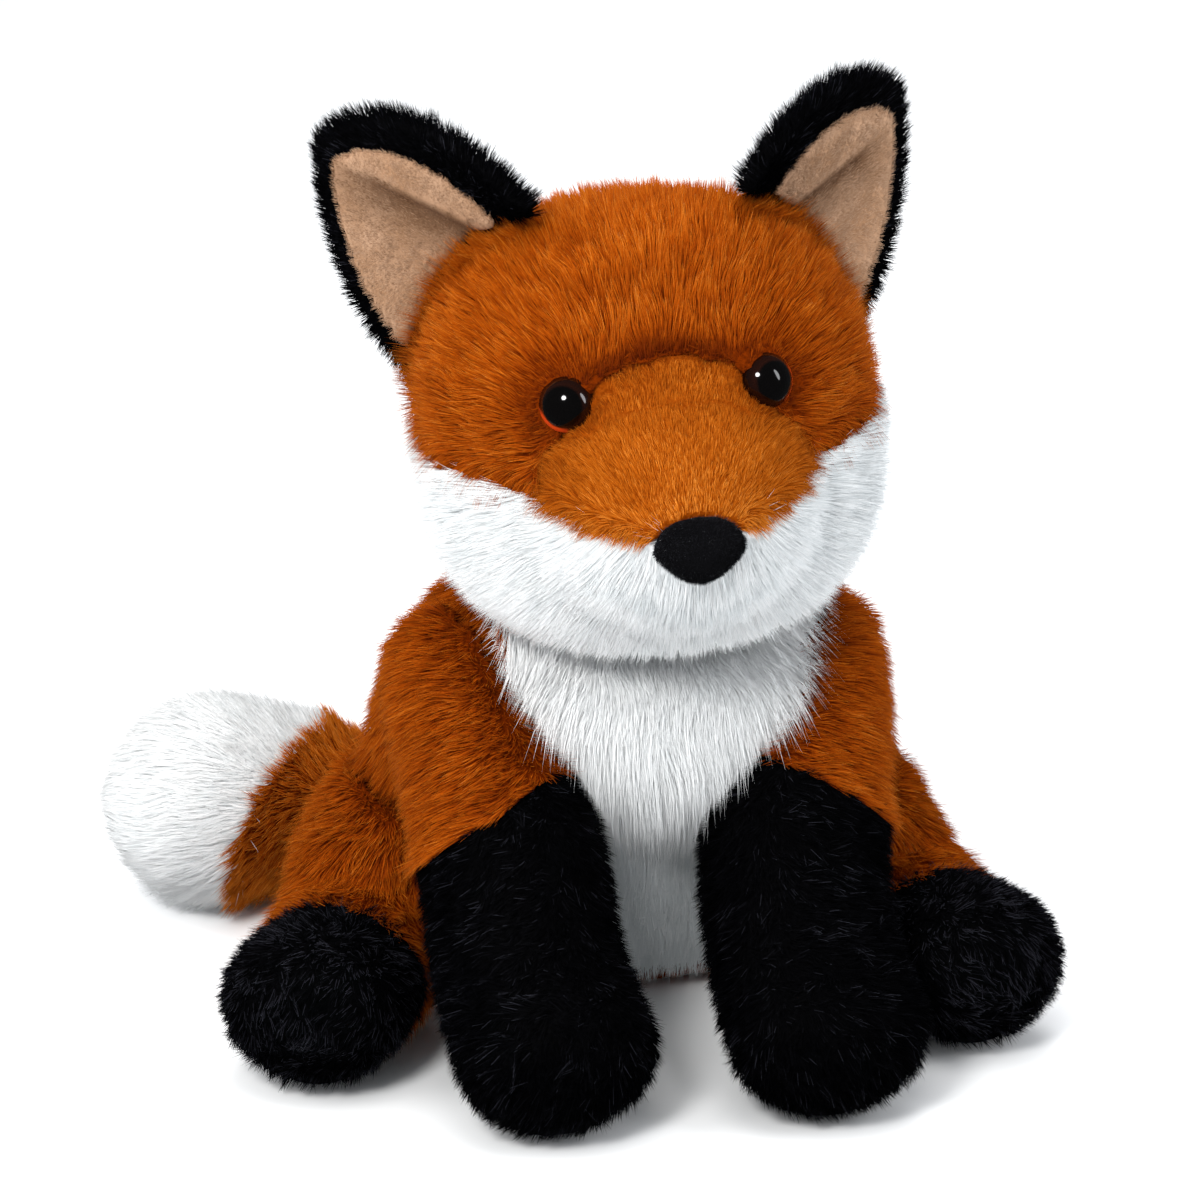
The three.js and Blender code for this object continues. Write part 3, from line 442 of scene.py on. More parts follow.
def pile(skin, name, coat, length, comb, density=1.55e6, thickness=0.00019, lean=60,
         loose=0.22, tuft=0.3, droop=None, tint=0.0, seed=1, wave=0.012, where=None, lift=0.0006,
         rounding=0.3, mingle=0.003, blocks=None):
    """The pile of a fur panel, rooted all over its outside and combed along the surface.

    It leans so many degrees from upright, sways loosely in waves, and gathers at its tips into tufts.
    A piece that blocks it keeps it short or lifts it, and pile so near a seam mingles across it.
    """
    piece, share, out, sewn_on = skin
    mesh = piece.data
    draw = np.random.default_rng(seed)
    places, _ = arrays(mesh)
    mesh.calc_loop_triangles()
    corners = np.empty(len(mesh.loop_triangles) * 3, int)
    mesh.loop_triangles.foreach_get("vertices", corners)
    corners = corners.reshape(-1, 3)
    corners = corners[share[corners].min(1) > 0.08]
    a, b, c = (places[corners[:, i]] for i in range(3))
    area = np.linalg.norm(np.cross(b - a, c - a), axis=1) / 2
    count = int(area.sum() * density)
    picked = draw.choice(len(corners), count, p=area / area.sum())
    s, t = draw.random(count), draw.random(count)
    s, t = np.where(s + t > 1, 1 - s, s), np.where(s + t > 1, 1 - t, t)
    weights = np.stack([1 - s - t, s, t], 1)[:, :, None]
    at = (places[corners[picked]] * weights).sum(1)
    normal = unit((out[corners[picked]] * weights).sum(1))
    blocks = blocks or other_tree[piece["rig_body"]]
    pressed = (at[:, 2] < 0.004) & (normal[:, 2] < -0.75)
    kept = ~pressed | (draw.random(count) < 0.25)
    over = [blocks.ray_cast(p, n, crevice)[3] for p, n in zip(at.tolist(), normal.tolist())]
    kept &= np.array([gap is None for gap in over]) | (draw.random(count) < 0.3)
    if where:
        kept &= draw.random(count) < where(at, normal)
    at, normal, pressed = at[kept], normal[kept], pressed[kept]
    count = len(at)

    way = laid(comb(at, normal), normal)
    beyond = np.zeros((count, 3))
    for i, place in enumerate(at.tolist()):
        spot = sewn_on.find_nearest(place, mingle)[0]
        if spot is not None:
            beyond[i] = spot - Vector(place)
    across_seam = (draw.random(count) ** 2) * (np.abs(beyond).sum(1) > 0)
    way = laid(way + unit(beyond) * across_seam[:, None] * 3, normal)
    sway = np.stack([ripple(at, wave, seed * 10 + i) for i in range(3)], 1)
    way = unit(way + sway * loose - normal * (sway * normal).sum(1, keepdims=True) * loose)
    tilt = np.radians(lean(at, normal) if callable(lean) else lean)
    tilt = tilt + 0.1 * ripple(at, wave * 0.6, seed * 10 + 4) + draw.normal(0, 0.1, count)
    way = normal * np.cos(tilt)[:, None] + way * np.sin(tilt)[:, None]
    way = unit(way + draw.normal(0, 0.07, (count, 3)))
    reach = length(at, normal) if callable(length) else np.full(count, length)
    reach = reach * draw.uniform(0.65, 1.15, count) * (1 + 0.08 * ripple(at, 0.006, seed * 10 + 5))
    reach = np.where(pressed, pressed_pile, reach) * (1 - 0.4 * across_seam)
    tips = at + way * reach[:, None]
    if tuft:
        heads = draw.choice(count, max(count // 6, 1), replace=False)
        tree = KDTree(len(heads))
        for i, place in enumerate(at[heads].tolist()):
            tree.insert(place, i)
        tree.balance()
        nearest = heads[[tree.find(place)[1] for place in at.tolist()]]
        tips += (tips[nearest] - tips) * (tuft * draw.uniform(0.3, 1, count))[:, None]
    for i, tip in enumerate(tips.tolist()):
        spot, facing, _, _ = blocks.find_nearest(tip, pushed_from)
        if spot is not None and (Vector(tip) - spot).dot(facing) < lift:
            tips[i] = spot + facing * lift
    tips[:, 2] = np.maximum(tips[:, 2], floor_gap)
    way = unit(tips - at)
    reach = np.minimum(np.linalg.norm(tips - at, axis=1), reach)
    shade = 0.5 + 0.09 * ripple(at, 0.016, seed * 10 + 6) + 0.1 * ripple(at, 0.003, seed * 10 + 7)
    shade += draw.normal(0, 0.2, count)
    shade += tint(at, normal) if callable(tint) else tint
    bend = None if droop is None else droop(at) * draw.uniform(0.6, 1.3, (count, 1))
    hairs = strands(name, at - normal * root_depth, way, reach,
                    thickness * draw.uniform(0.7, 1.3, count), normal, shade, bend, rounding)
    hairs.data.materials.append(coat)
    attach(hairs, piece["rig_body"])
    return hairs


def coat(name, along, tints, roughness=0.8, gloss=0.03):
    """The finish of a pile: along runs from root to tip, darker at the root as painted shade among the
    hairs, and tints is what single hairs vary by.
    """

    def paint(dye):
        at = dye.make("ShaderNodeUVMap", uv_map="OFBake")
        lane = dye.make("ShaderNodeSeparateXYZ", [(0, at)])
        up = Dye(dye.tree, lane.socket.node.outputs[1]) * (1 / hair_band)
        return {"Base Color": up.ramp(*along).blended(1.0, lane.ramp(*tints), "MULTIPLY")}

    return finish(name, paint, **{"Roughness": roughness, "Specular IOR Level": gloss})


def cloth(name, dark, light):
    """The finish of a knitted backing with the dense foot of its pile, its colours darkened as painted
    shade under the hairs.
    """

    def paint(dye):
        knit = dye.noise(0.0012, 5)
        bump = dye.make("ShaderNodeBump", [("Height", knit), ("Distance", 0.0008)])
        return {"Base Color": knit.ramp((0.3, dark), (0.7, light)), "Normal": bump}

    return finish(name, paint, Roughness=1.0, **{"Specular IOR Level": 0.0})


russet_cloth = cloth("russet_cloth", (0.085, 0.011, 0.0006), (0.16, 0.022, 0.001))
# Russet pile: the dark roots are painted shade, the pale last stretch of each hair is painted highlight,
# and the few hairs in the brightest tint lanes are painted glints.
russet_coat = coat(
    "russet_pile",
    [(0, (0.11, 0.014, 0.0005)), (0.3, (0.25, 0.037, 0.001)), (0.7, (0.40, 0.072, 0.002)),
     (0.93, (0.53, 0.135, 0.009)), (1, (0.70, 0.26, 0.05))],
    [(0, (0.32, 0.24, 0.2)), (0.3, (0.7, 0.64, 0.6)), (0.6, (0.92, 0.9, 0.88)), (0.86, (1, 1, 1)),
     (1, (1.5, 2.2, 5))])
white_cloth = cloth("white_cloth", (0.72, 0.75, 0.76), (0.82, 0.84, 0.85))
white_coat = coat(
    "white_pile",
    [(0, (0.84, 0.86, 0.87)), (0.3, (0.93, 0.945, 0.95)), (1, (0.96, 0.965, 0.965))],
    [(0, (0.72, 0.75, 0.76)), (0.3, (0.91, 0.925, 0.93)), (0.6, (0.97, 0.975, 0.975)), (1, (1, 1, 1))])


def down(at, normal):
    return np.tile([0.0, 0.0, -1.0], (len(at), 1))


def back_comb(at, normal):
    middle = at - [0, -0.01, 0]
    middle[:, 2] = 0
    return down(at, normal) + unit(middle) * 0.15


back = fur_skin("back_skin", "back_panel", russet_cloth, 0.003)
pile(back, "back_pile", russet_coat, 0.011, back_comb, seed=11, density=1.28e6,
     thickness=0.0002)
seat = fur_skin("seat_panel", "seat_base", russet_cloth, 0.0015)
pile(seat, "seat_pile", russet_coat, 0.006, back_comb, density=0.8e6, seed=12)


def bib_comb(at, normal):
    return down(at, normal) - (at - [0.004, 0, 0]) * [5, 0, 0]


def bib_length(at, normal):
    low = np.clip((0.125 - at[:, 2]) / 0.045, 0, 1)
    return 0.011 + 0.003 * low


def bib_droop(at):
    return np.tile([0.0, 0.04, -0.28], (len(at), 1))


def bib_border(at, normal):
    """The bib's lower edge and sides, where its hair is longest."""
    side = np.abs(at[:, 0] - 0.004) / 0.046
    low = np.clip((0.128 - at[:, 2]) / 0.05, 0, 1)
    edge = np.clip(np.maximum(side * 1.6 - 0.75, low * 1.2 - 0.1), 0, 1)
    return edge * (normal[:, 1] < -0.1) * (1 - collar(at, normal))


collar_start, collar_blend = -0.022, 0.006


def collar(at, normal):
    """The sides of the neck behind the bib, where the russet begins."""
    return np.clip((at[:, 1] - collar_start) / collar_blend + 0.5 + 0.4 * ripple(at, 0.02, 8), 0, 1)


def two_tone(start, blend):
    """A knitted backing, white in front of that depth and russet behind it, both darkened as painted
    shade under the hairs.
    """

    def paint(dye):
        at = dye.make("ShaderNodeTexCoord", output="Object")
        depth = Dye(dye.tree, dye.make("ShaderNodeSeparateXYZ", [(0, at)]).socket.node.outputs[1])
        behind = (depth - (start - blend / 2)) * (1 / blend)
        return {"Base Color": behind.ramp((0, (0.78, 0.8, 0.81)), (1, (0.12, 0.016, 0.001)))}

    return paint


bib_cloth = finish("bib_cloth", two_tone(collar_start, collar_blend), Roughness=1.0,
                   **{"Specular IOR Level": 0.0})
bib = fur_skin("chest_bib", "bib_panel", bib_cloth, 0.0025)
pile(bib, "bib_pile", white_coat, bib_length, bib_comb, density=2.9e6, lean=60,
     thickness=0.00015, loose=0.15, tuft=0.06, seed=13, wave=0.02, lift=0.0015, rounding=0.1,
     mingle=0.001, tint=0.15, where=lambda at, normal: 1 - collar(at, normal))
pile(bib, "collar_pile", russet_coat, 0.011, down, seed=16, where=collar)
pile(bib, "bib_fringe", white_coat, 0.016, bib_comb, density=1.0e6, lean=52,
     thickness=0.00012, droop=bib_droop, loose=0.15, tuft=0.1, seed=15, wave=0.02, where=bib_border,
     lift=0.003, rounding=0.1, mingle=0.001, tint=0.15)
belly = fur_skin("belly_skin", "belly_panel", white_cloth, 0.002)
# The belly's pile is darkened (tint -0.6) as painted shade under the bib's overhang.
pile(belly, "belly_pile", white_coat, 0.008, down, seed=14, tuft=0.12, rounding=0.1,
     mingle=0.001, tint=-0.6)


# Head: fibre inside three sewn panels. The long russet pile of the crown runs back from the nose and
# hangs over its seam with the cheeks. The fawn muzzle panel has short dense pile. The cheeks and jaw are
# soft and white, and turn russet at the nape.
def centre(node):
    return sum(map(np.array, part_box(node))) / 2


nose_place, muzzle_heart = centre("nose"), centre("muzzle_skin")
eye_places = [centre("eye_left"), centre("eye_right")]


def past_eyes(way, at, size, push):
    """A way that also turns from each eye, within about that distance of it."""
    for place in eye_places:
        off = at - place
        way = way + unit(off) * np.exp(-(np.linalg.norm(off, axis=1) / size) ** 2)[:, None] * push
    return way


def face_comb(at, normal):
    """Away from the muzzle, and away from each eye close to it."""
    return unit(past_eyes(unit(at - (nose_place + [0, 0.02, 0.012])), at, 0.017, 1.6))


def crown_comb(at, normal):
    """Away from the muzzle, but down over the white along the cheeks' seam."""
    low = nearness(cheek_tree, at, 0.010)[:, None]
    ear = np.clip(nearness(ear_tree, at, 0.012) * 1.6, 0, 1)[:, None]
    apart = np.sign(at - [0, -0.016, 0]) * [0.4, 1, 0] + [0, 0, 0.3]
    return face_comb(at, normal) * (1 - low) * (1 - ear) + [0, 0, -1.5] * low + apart * ear


def hem(at):
    """The muzzle's lower edge on both sides of the nose, where tufts hang over the white."""
    return nearness(cheek_tree, at, 0.006) * np.clip(np.abs(at[:, 0] - nose_place[0]) / 0.004 - 3, 0, 1)


def muzzle_comb(at, normal):
    """Up and back from below the nose, out over the seam at each side, and away from the eyes."""
    off = (at[:, :1] - nose_place[0]) / 0.04
    way = unit(at - (nose_place + [0, -0.01, -0.03])) + [0, 0.3, 0.5]
    way = past_eyes(way + off * np.abs(off) * [1.4, 0, -0.3], at, 0.014, 2)
    low = hem(at)[:, None]
    return unit(way) * (1 - low) + (off * [0.5, 0, 0] + [0, 0, -1.5]) * low


def painted_eye_shade(at, normal):
    """Painted shade round the eyes, where they sit in the fur."""
    shade = np.zeros(len(at))
    for place in eye_places:
        shade -= 0.6 * np.exp(-((np.linalg.norm(at - place, axis=1) - 0.009) / 0.005) ** 2)
    return shade


def min_reach(at, places, size):
    """From 0 at the nearest of the places to 1 at that distance from it."""
    off = np.min([np.linalg.norm(at - place, axis=1) for place in places], axis=0)
    return np.clip(off / size, 0, 1)


def round_eyes(at):
    """How much of its length the pile keeps so near an eye."""
    return 0.5 + 0.5 * np.clip(min_reach(at, eye_places, 0.018) * 2 - 1, 0, 1)


def brow(at):
    """The middle of the muzzle's upper seam."""
    return (np.abs(at[:, 0] - nose_place[0]) < 0.030) * (at[:, 2] > nose_place[2] + 0.026)


def crown_length(at, normal):
    """Short round the eyes and above the muzzle, long over the top and back, longest at the ears."""
    near = min_reach(at, eye_places + [muzzle_heart], 0.05)
    return (0.0055 + 0.0050 * near) * round_eyes(at) + 0.004 * nearness(ear_tree, at, 0.014)


def crown_lean(at, normal):
    return 60 - 38 * np.clip(nearness(ear_tree, at, 0.014) * 1.5, 0, 1)


def crown_inset(at, normal):
    return 0.0014 + 0.0016 * min_reach(at, [muzzle_heart], 0.05)


def crown_tone_and_shade(at, normal):
    """Painted shade in the seam above the muzzle and round the eyes."""
    return painted_eye_shade(at, normal) - 1.3 * nearness(muzzle_tree, at, 0.004) * brow(at) + 0.1


def muzzle_tone_and_shade(at, normal):
    """Lighter towards the nose, with painted shade that makes it as dark as the crown at the sides and
    the seam above, and round the eyes.
    """
    low = np.exp(-(np.linalg.norm((at - nose_place) * [0.7, 1, 1], axis=1) / 0.026) ** 2)
    side = np.clip(np.abs(at[:, 0] - nose_place[0]) / 0.045, 0, 1) ** 2
    seam = nearness(crown_tree, at, 0.002) * (0.3 + 0.8 * brow(at))
    return painted_eye_shade(at, normal) + 0.45 * low - 0.2 * side - 0.05 - seam


def muzzle_length(at, normal):
    """Longer at the sides, where it covers the seam."""
    side = np.clip(np.abs(at[:, 0] - nose_place[0]) / 0.04 - 0.3, 0, 1)
    short = round_eyes(at) * (1 - 0.55 * nearness(crown_tree, at, 0.003) * brow(at))
    return (0.0032 + 0.0030 * side) * short + 0.003 * hem(at)


def muzzle_inset(at, out):
    """Deeper beside the eyes, so that their rims show."""
    return 0.0012 + 0.0025 * np.exp(-(min_reach(at, eye_places, 0.1) / 0.13) ** 2)


def cheek_tone_and_shade(at, normal):
    """A faint painted shade in the fold of the mouth, and painted shade that darkens the cheeks towards
    the right eye's side.
    """
    off = (at - nose_place) @ np.array((0.997, 0, 0.075))
    above = -0.024 + 0.5 * np.abs(off) - (at - nose_place)[:, 2]
    fold = 0.7 * np.exp(-(above / 0.0025) ** 2) * (np.abs(off) < 0.024) * (normal[:, 1] < 0)
    return -0.15 - fold - 0.2 * np.clip(at[:, 0] / 0.04, 0, 1)


filling("head_stuffing", "head_filling", fibre)
ear_tree = solid_tree(["ear_back_left", "ear_back_right"])
muzzle_tree = solid_tree(["muzzle_skin"])
crown_tree = solid_tree(["crown_skin"])
cheek_tree = solid_tree(["cheek_skin"])
off_head = [n for body in members if not body.startswith(("head", "ear")) for n in members[body]]
crown = fur_skin("crown_skin", "crown_panel", russet_cloth, crown_inset, voxel=0.0028)
pile(crown, "crown_pile", russet_coat, crown_length, crown_comb, tint=crown_tone_and_shade, seed=21,
     density=2.3e6, thickness=0.00016, tuft=0.22, lean=crown_lean,
     blocks=solid_tree(off_head + list(hard)))
fawn_cloth = cloth("fawn_cloth", (0.16, 0.026, 0.001), (0.28, 0.055, 0.003))
# Fawn pile: the dark roots are painted shade, and the lighter tips and the few hairs in the brightest
# tint lanes are painted glints.
fawn_coat = coat(
    "fawn_pile",
    [(0, (0.22, 0.036, 0.001)), (0.5, (0.42, 0.088, 0.003)), (1, (0.54, 0.155, 0.012))],
    [(0, (0.42, 0.34, 0.28)), (0.4, (0.86, 0.82, 0.78)), (0.75, (1, 1.05, 1.2)), (1, (1.5, 2.1, 5))])
muzzle = fur_skin("muzzle_skin", "muzzle_panel", fawn_cloth, muzzle_inset, voxel=0.0022)
pile(muzzle, "muzzle_pile", fawn_coat, muzzle_length, muzzle_comb, tint=muzzle_tone_and_shade, seed=22,
     density=4.5e6, thickness=0.00014, lean=52, tuft=0.2, wave=0.008)
nape_start, nape_blend = 0.004, 0.005


def nape(at, normal):
    """The back of the head and neck, where the russet runs down behind the white cheeks."""
    return np.clip((at[:, 1] - nape_start) / nape_blend + 0.5 + 0.2 * ripple(at, 0.02, 7), 0, 1)


def cheek_comb(at, normal):
    """Away from the muzzle, turning down towards the nape."""
    behind = np.clip((at[:, 1] - nape_start) / 0.03 + 1, 0, 1)[:, None]
    return face_comb(at, normal) * (1 - behind) + [0, 0, -1] * behind


cheek_cloth = finish("cheek_cloth", two_tone(nape_start, nape_blend), Roughness=1.0,
                     **{"Specular IOR Level": 0.0})
cheeks = fur_skin("cheek_skin", "cheek_panel", cheek_cloth, 0.0015, voxel=0.0028)
pile(cheeks, "cheek_pile", white_coat, 0.0100, cheek_comb, tint=cheek_tone_and_shade, seed=23,
     density=2.6e6, thickness=0.00016, lean=56, loose=0.15, tuft=0.06, rounding=0.1,
     mingle=0.00001, where=lambda at, normal: 1 - nape(at, normal))
pile(cheeks, "nape_pile", russet_coat, 0.0105, down, seed=26, density=1.9e6,
     thickness=0.00017, where=nape)


# Eyes: plastic safety eyes, a black dome ringed with amber on a ribbed shank. The shank goes through
# the cloth, and a white washer pressed onto it inside the head holds the eye for good.
eye_radius, dome_height, flange = 0.009, 0.0065, 0.001
shank_radius, ribs, rib, rib_gap = 0.0026, 4, 0.0006, 0.0018
# Each eye's seat, its axis, and the way towards the side of its dome where a crescent of light through
# the amber is painted.
eyes = {
    "left": ((-0.03240, -0.08473, 0.22403), (-0.4123, -0.8936, 0.1775), (-0.5, 0.1, -0.86)),
    "right": ((0.03142, -0.08473, 0.22882), (0.3811, -0.8936, 0.2372), (0.9, 0.1, -0.1)),
}


def pick_edges(piece, test):
    """Selects the edges whose middle passes the test."""
    bpy.ops.mesh.select_mode(type="EDGE")
    bpy.ops.mesh.select_all(action="DESELECT")
    bpy.ops.object.mode_set(mode="OBJECT")
    points = piece.data.vertices
    for edge in piece.data.edges:
        edge.select = test((points[edge.vertices[0]].co + points[edge.vertices[1]].co) / 2)
    bpy.ops.object.mode_set(mode="EDIT")


def pull(distance):
    bpy.ops.mesh.extrude_region_move(TRANSFORM_OT_translate={"value": (0, 0, distance)})


def safety_eye(name, seat, axis):
    ball = (eye_radius**2 + dome_height**2) / (2 * dome_height)
    bpy.ops.object.select_all(action="DESELECT")
    bpy.ops.mesh.primitive_uv_sphere_add(
        segments=64, ring_count=64, radius=ball, location=(0, 0, dome_height - ball))
    piece = bpy.context.object
    piece.name = name
    bpy.ops.object.transform_apply()
    bpy.ops.object.mode_set(mode="EDIT")
    bpy.ops.mesh.select_all(action="SELECT")
    bpy.ops.mesh.bisect(plane_co=(0, 0, 0), plane_no=(0, 0, 1), use_fill=True, clear_inner=True)
    pull(-flange)
    bpy.ops.mesh.inset(thickness=eye_radius - shank_radius - 0.0004)
    pull(-0.002)
    for _ in range(ribs):
        bpy.ops.mesh.inset(thickness=0.0004)
        pull(-rib_gap)
        bpy.ops.transform.resize(value=(1.2, 1.2, 1), center_override=(0, 0, 0))
        pull(-rib)
    bpy.ops.mesh.inset(thickness=0.001)
    pick_edges(piece, lambda at: abs(at.z) < 1e-5
               or abs(at.z + flange) < 1e-5 and at.xy.length > eye_radius - 0.001)
    bpy.ops.mesh.bevel(offset=0.0003, segments=3, affect="EDGES")
    bpy.ops.mesh.select_all(action="SELECT")
    bpy.ops.mesh.normals_make_consistent(inside=False)
    bpy.ops.object.mode_set(mode="OBJECT")
    bpy.ops.object.shade_smooth_by_angle(angle=math.radians(30))
    turned = Vector(axis).to_track_quat("Z", "Y").to_matrix().to_4x4()
    piece.matrix_world = Matrix.Translation(seat) @ turned
    bpy.ops.object.transform_apply()
    return piece


def eye_finish(name, seat, axis, light):
    def paint(dye):
        at = dye.make("ShaderNodeTexCoord", output="Object")
        off = dye.make("ShaderNodeVectorMath", [(0, at), (1, seat)], operation="SUBTRACT")
        up = dye.make("ShaderNodeVectorMath", [(0, off), (1, axis)], 1, operation="DOT_PRODUCT")
        long = dye.make("ShaderNodeVectorMath", [(0, off)], 1, operation="LENGTH")
        out = (long * long - up * up).maths("SQRT", long * long - up * up) * (1 / eye_radius)
        ring = out.ramp((0.68, (0.0008, 0.0006, 0.0006)), (0.76, (0.010, 0.0022, 0.001)),
                        (0.93, (0.006, 0.0015, 0.0008)), (1, (0.001, 0.0006, 0.0006)))
        # A red-orange crescent in the amber band on the side towards light: painted light, as if lamp
        # light shone through the amber.
        side = dye.make("ShaderNodeVectorMath", [(0, off), (1, light)], 1, operation="DOT_PRODUCT")
        lit = (side * (1 / eye_radius)).ramp((0.52, (0, 0, 0)), (0.72, (1, 1, 1)))
        band = out.ramp((0.72, (0, 0, 0)), (0.79, (1, 1, 1)), (0.92, (1, 1, 1)), (0.97, (0, 0, 0)))
        glow = lit.blended(1.0, band, "MULTIPLY")
        return {"Base Color": ring.blended(glow, (0.45, 0.04, 0.006, 1))}

    return finish(name, paint, Roughness=0.08, IOR=1.5)


for side, (seat, axis, light) in eyes.items():
    eye = safety_eye(f"eye_dome_{side}", seat, axis)
    eye.data.materials.append(eye_finish(f"eye_plastic_{side}", seat, axis, light))
    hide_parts(f"eye_{side}")
    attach(eye, "head")


# The washers and the nose's own are the CAD solids, with moulded white plastic for their finish.
def washer_paint(dye):
    grain = dye.noise(0.0012, 4)
    bump = dye.make("ShaderNodeBump", [("Height", grain), ("Distance", 0.0001), ("Strength", 0.4)])
    pale = grain.ramp((0.3, (0.66, 0.66, 0.65)), (0.7, (0.74, 0.74, 0.73)))
    return {"Base Color": pale, "Normal": bump}


washer_plastic = finish("washer_plastic", washer_paint, Roughness=0.45)
for node in ("eye_washer_left", "eye_washer_right", "nose_washer"):
    frame["nodes"][node].data.materials.clear()
    frame["nodes"][node].data.materials.append(washer_plastic)


# Nose: a moulded rounded triangle with a shank of its own, flocked with short black fibre that
# stands up as a soft nap. Its washer clamps it to the muzzle panel where the cheeks meet.
def nap_paint(dye):
    nap = dye.noise(0.0004, 5)
    bump = dye.make("ShaderNodeBump", [("Height", nap), ("Distance", 0.0003)])
    black = nap.ramp((0.35, (0.001, 0.001, 0.0012)), (0.75, (0.004, 0.004, 0.005)))
    return {"Base Color": black, "Normal": bump}


# Flock fibre: the dark roots are painted shade, and the grey tips and the few hairs in the brightest
# tint lanes are painted sheen.
flock_coat = coat(
    "flock_fibre",
    [(0, (0.0008, 0.0008, 0.001)), (0.5, (0.006, 0.006, 0.007)), (1, (0.085, 0.087, 0.092))],
    [(0, (0.35, 0.35, 0.4)), (0.6, (0.8, 0.8, 0.9)), (0.9, (1, 1, 1)), (1, (4, 4, 4))], gloss=0.05)


def forward(at, normal):
    return np.tile([0.0, -1.0, 0.0], (len(at), 1)) + unit(at - nose_place) * 0.5


nose_half_width, nose_half_height = 0.0145, 0.0105
button = soft_copy("nose", "nose_button", 0.0008)
free = outside(button, own_tree["head"], 0.0006).astype(float)
smoothed(button, np.ones(len(free), bool), 3)
places, _ = arrays(button.data)
below = np.clip((nose_place[2] - places[:, 2]) / nose_half_height, 0, 1)
places[:, 0] -= (places[:, 0] - nose_place[0]) * 0.2 * below**1.5
reshape(button, places)
nose_nap = finish("nose_nap", nap_paint, Roughness=1.0, **{"Specular IOR Level": 0.05})
button.data.materials.append(nose_nap)


def nose_rim(at, normal):
    """Flocking stands up clearly at the rim and lies flat over the middle."""
    out = np.linalg.norm((at - nose_place)[:, [0, 2]] / [nose_half_width, nose_half_height], axis=1)
    return np.clip(out * 1.6 - 0.5, 0.15, 1)


flocked = (button, free, arrays(button.data)[1], solid_tree(["nose_washer"]))
pile(flocked, "nose_flocking", flock_coat, 0.0015, forward, blocks=near_tree["head"],
     density=9e6, thickness=0.00008, lean=25, tuft=0, seed=24, wave=0.004, where=nose_rim)


# Ears: a black long-pile back that wraps over the edge onto the front, and a short-pile tan lining
# sewn inside that edge. Each ear is cupped, folded once along its inner half, and sewn to the crown.
folds = {  # where the lining's fold starts and stops, and the way from it to the ear's outer edge
    "left": ((-0.0905, -0.0216, 0.2832), (-0.0471, -0.0333, 0.2638), (-0.23, 0.0, -0.97)),
    "right": ((0.0782, -0.0202, 0.2855), (0.0498, -0.0287, 0.2680), (0.50, 0.0, -0.87)),
}


def fold_lines(side):
    """The fold's start, its whole run, and the way past it at right angles."""
    start, stop, way = map(np.array, folds[side])
    along = stop - start
    return start, along, unit(way - along * (way @ along) / (along @ along))


def below_fold(at, side):
    """How far past the fold, and how much of the fold's run lies alongside."""
    start, along, away = fold_lines(side)
    run = (at - start) @ along / (along @ along)
    return (at - start) @ away, np.clip(1.6 - 2 * np.abs(run - 0.5), 0, 1)


def suede_paint(dye, side):
    pile_foot = dye.noise(0.0007, 5)
    bump = dye.make("ShaderNodeBump", [("Height", pile_foot), ("Distance", 0.0004)])
    tan = dye.noise(0.012, 2).ramp((0.35, (0.32, 0.18, 0.10)), (0.65, (0.43, 0.265, 0.165)))
    start, along, away = fold_lines(side)
    at = dye.make("ShaderNodeTexCoord", output="Object")
    from_start = dye.make("ShaderNodeVectorMath", [(0, at), (1, start)], operation="SUBTRACT")
    below = dye.make("ShaderNodeVectorMath", [(0, from_start), (1, away)], 1, operation="DOT_PRODUCT")
    run = dye.make("ShaderNodeVectorMath", [(0, from_start), (1, along / (along @ along))], 1,
                   operation="DOT_PRODUCT")
    # Painted shadow in a band just below the fold, fading further down; beside keeps it to the fold's
    # run.
    shade = ((below + 0.002) * (1 / 0.018)).ramp(
        (0, (1, 1, 1)), (0.16, (0.26, 0.22, 0.2)), (0.4, (0.45, 0.42, 0.4)), (1, (1, 1, 1)))
    beside = ((run + 0.3) * (1 / 1.6)).ramp(
        (0, (0, 0, 0)), (0.3, (1, 1, 1)), (0.7, (1, 1, 1)), (1, (0, 0, 0)))
    return {"Base Color": tan.blended(beside, tan.blended(1.0, shade, "MULTIPLY")), "Normal": bump}


black_cloth = cloth("black_cloth", (0.0008, 0.0008, 0.001), (0.002, 0.002, 0.0024))
# Black pile: the near-black roots are painted shade, and the lighter tips and the few hairs in the
# brightest tint lanes are painted glints.
black_coat = coat(
    "black_pile",
    [(0, (0.0006, 0.0006, 0.0008)), (0.7, (0.0014, 0.0014, 0.0018)), (1, (0.006, 0.0064, 0.0078))],
    [(0, (0.35, 0.35, 0.4)), (0.6, (0.8, 0.8, 0.9)), (0.75, (1.2, 1.2, 1.25)), (0.9, (4, 4, 4.1)),
     (1, (17, 17, 17.5))], roughness=0.5, gloss=0.015)
tan_coat = coat(
    "tan_nap",
    [(0, (0.20, 0.11, 0.06)), (0.6, (0.38, 0.22, 0.13)), (1, (0.58, 0.40, 0.28))],
    [(0, (0.42, 0.36, 0.31)), (0.4, (0.88, 0.87, 0.86)), (1, (1.06, 1.08, 1.1))])
ear_roots = {  # where each ear is sewn on, and the way that its upper inner edge faces
    "left": (np.array((-0.0497, -0.015, 0.2413)), np.array((0.636, -0.373, 0.676))),
    "right": (np.array((0.0464, -0.015, 0.2435)), np.array((-0.730, -0.373, 0.573))),
}
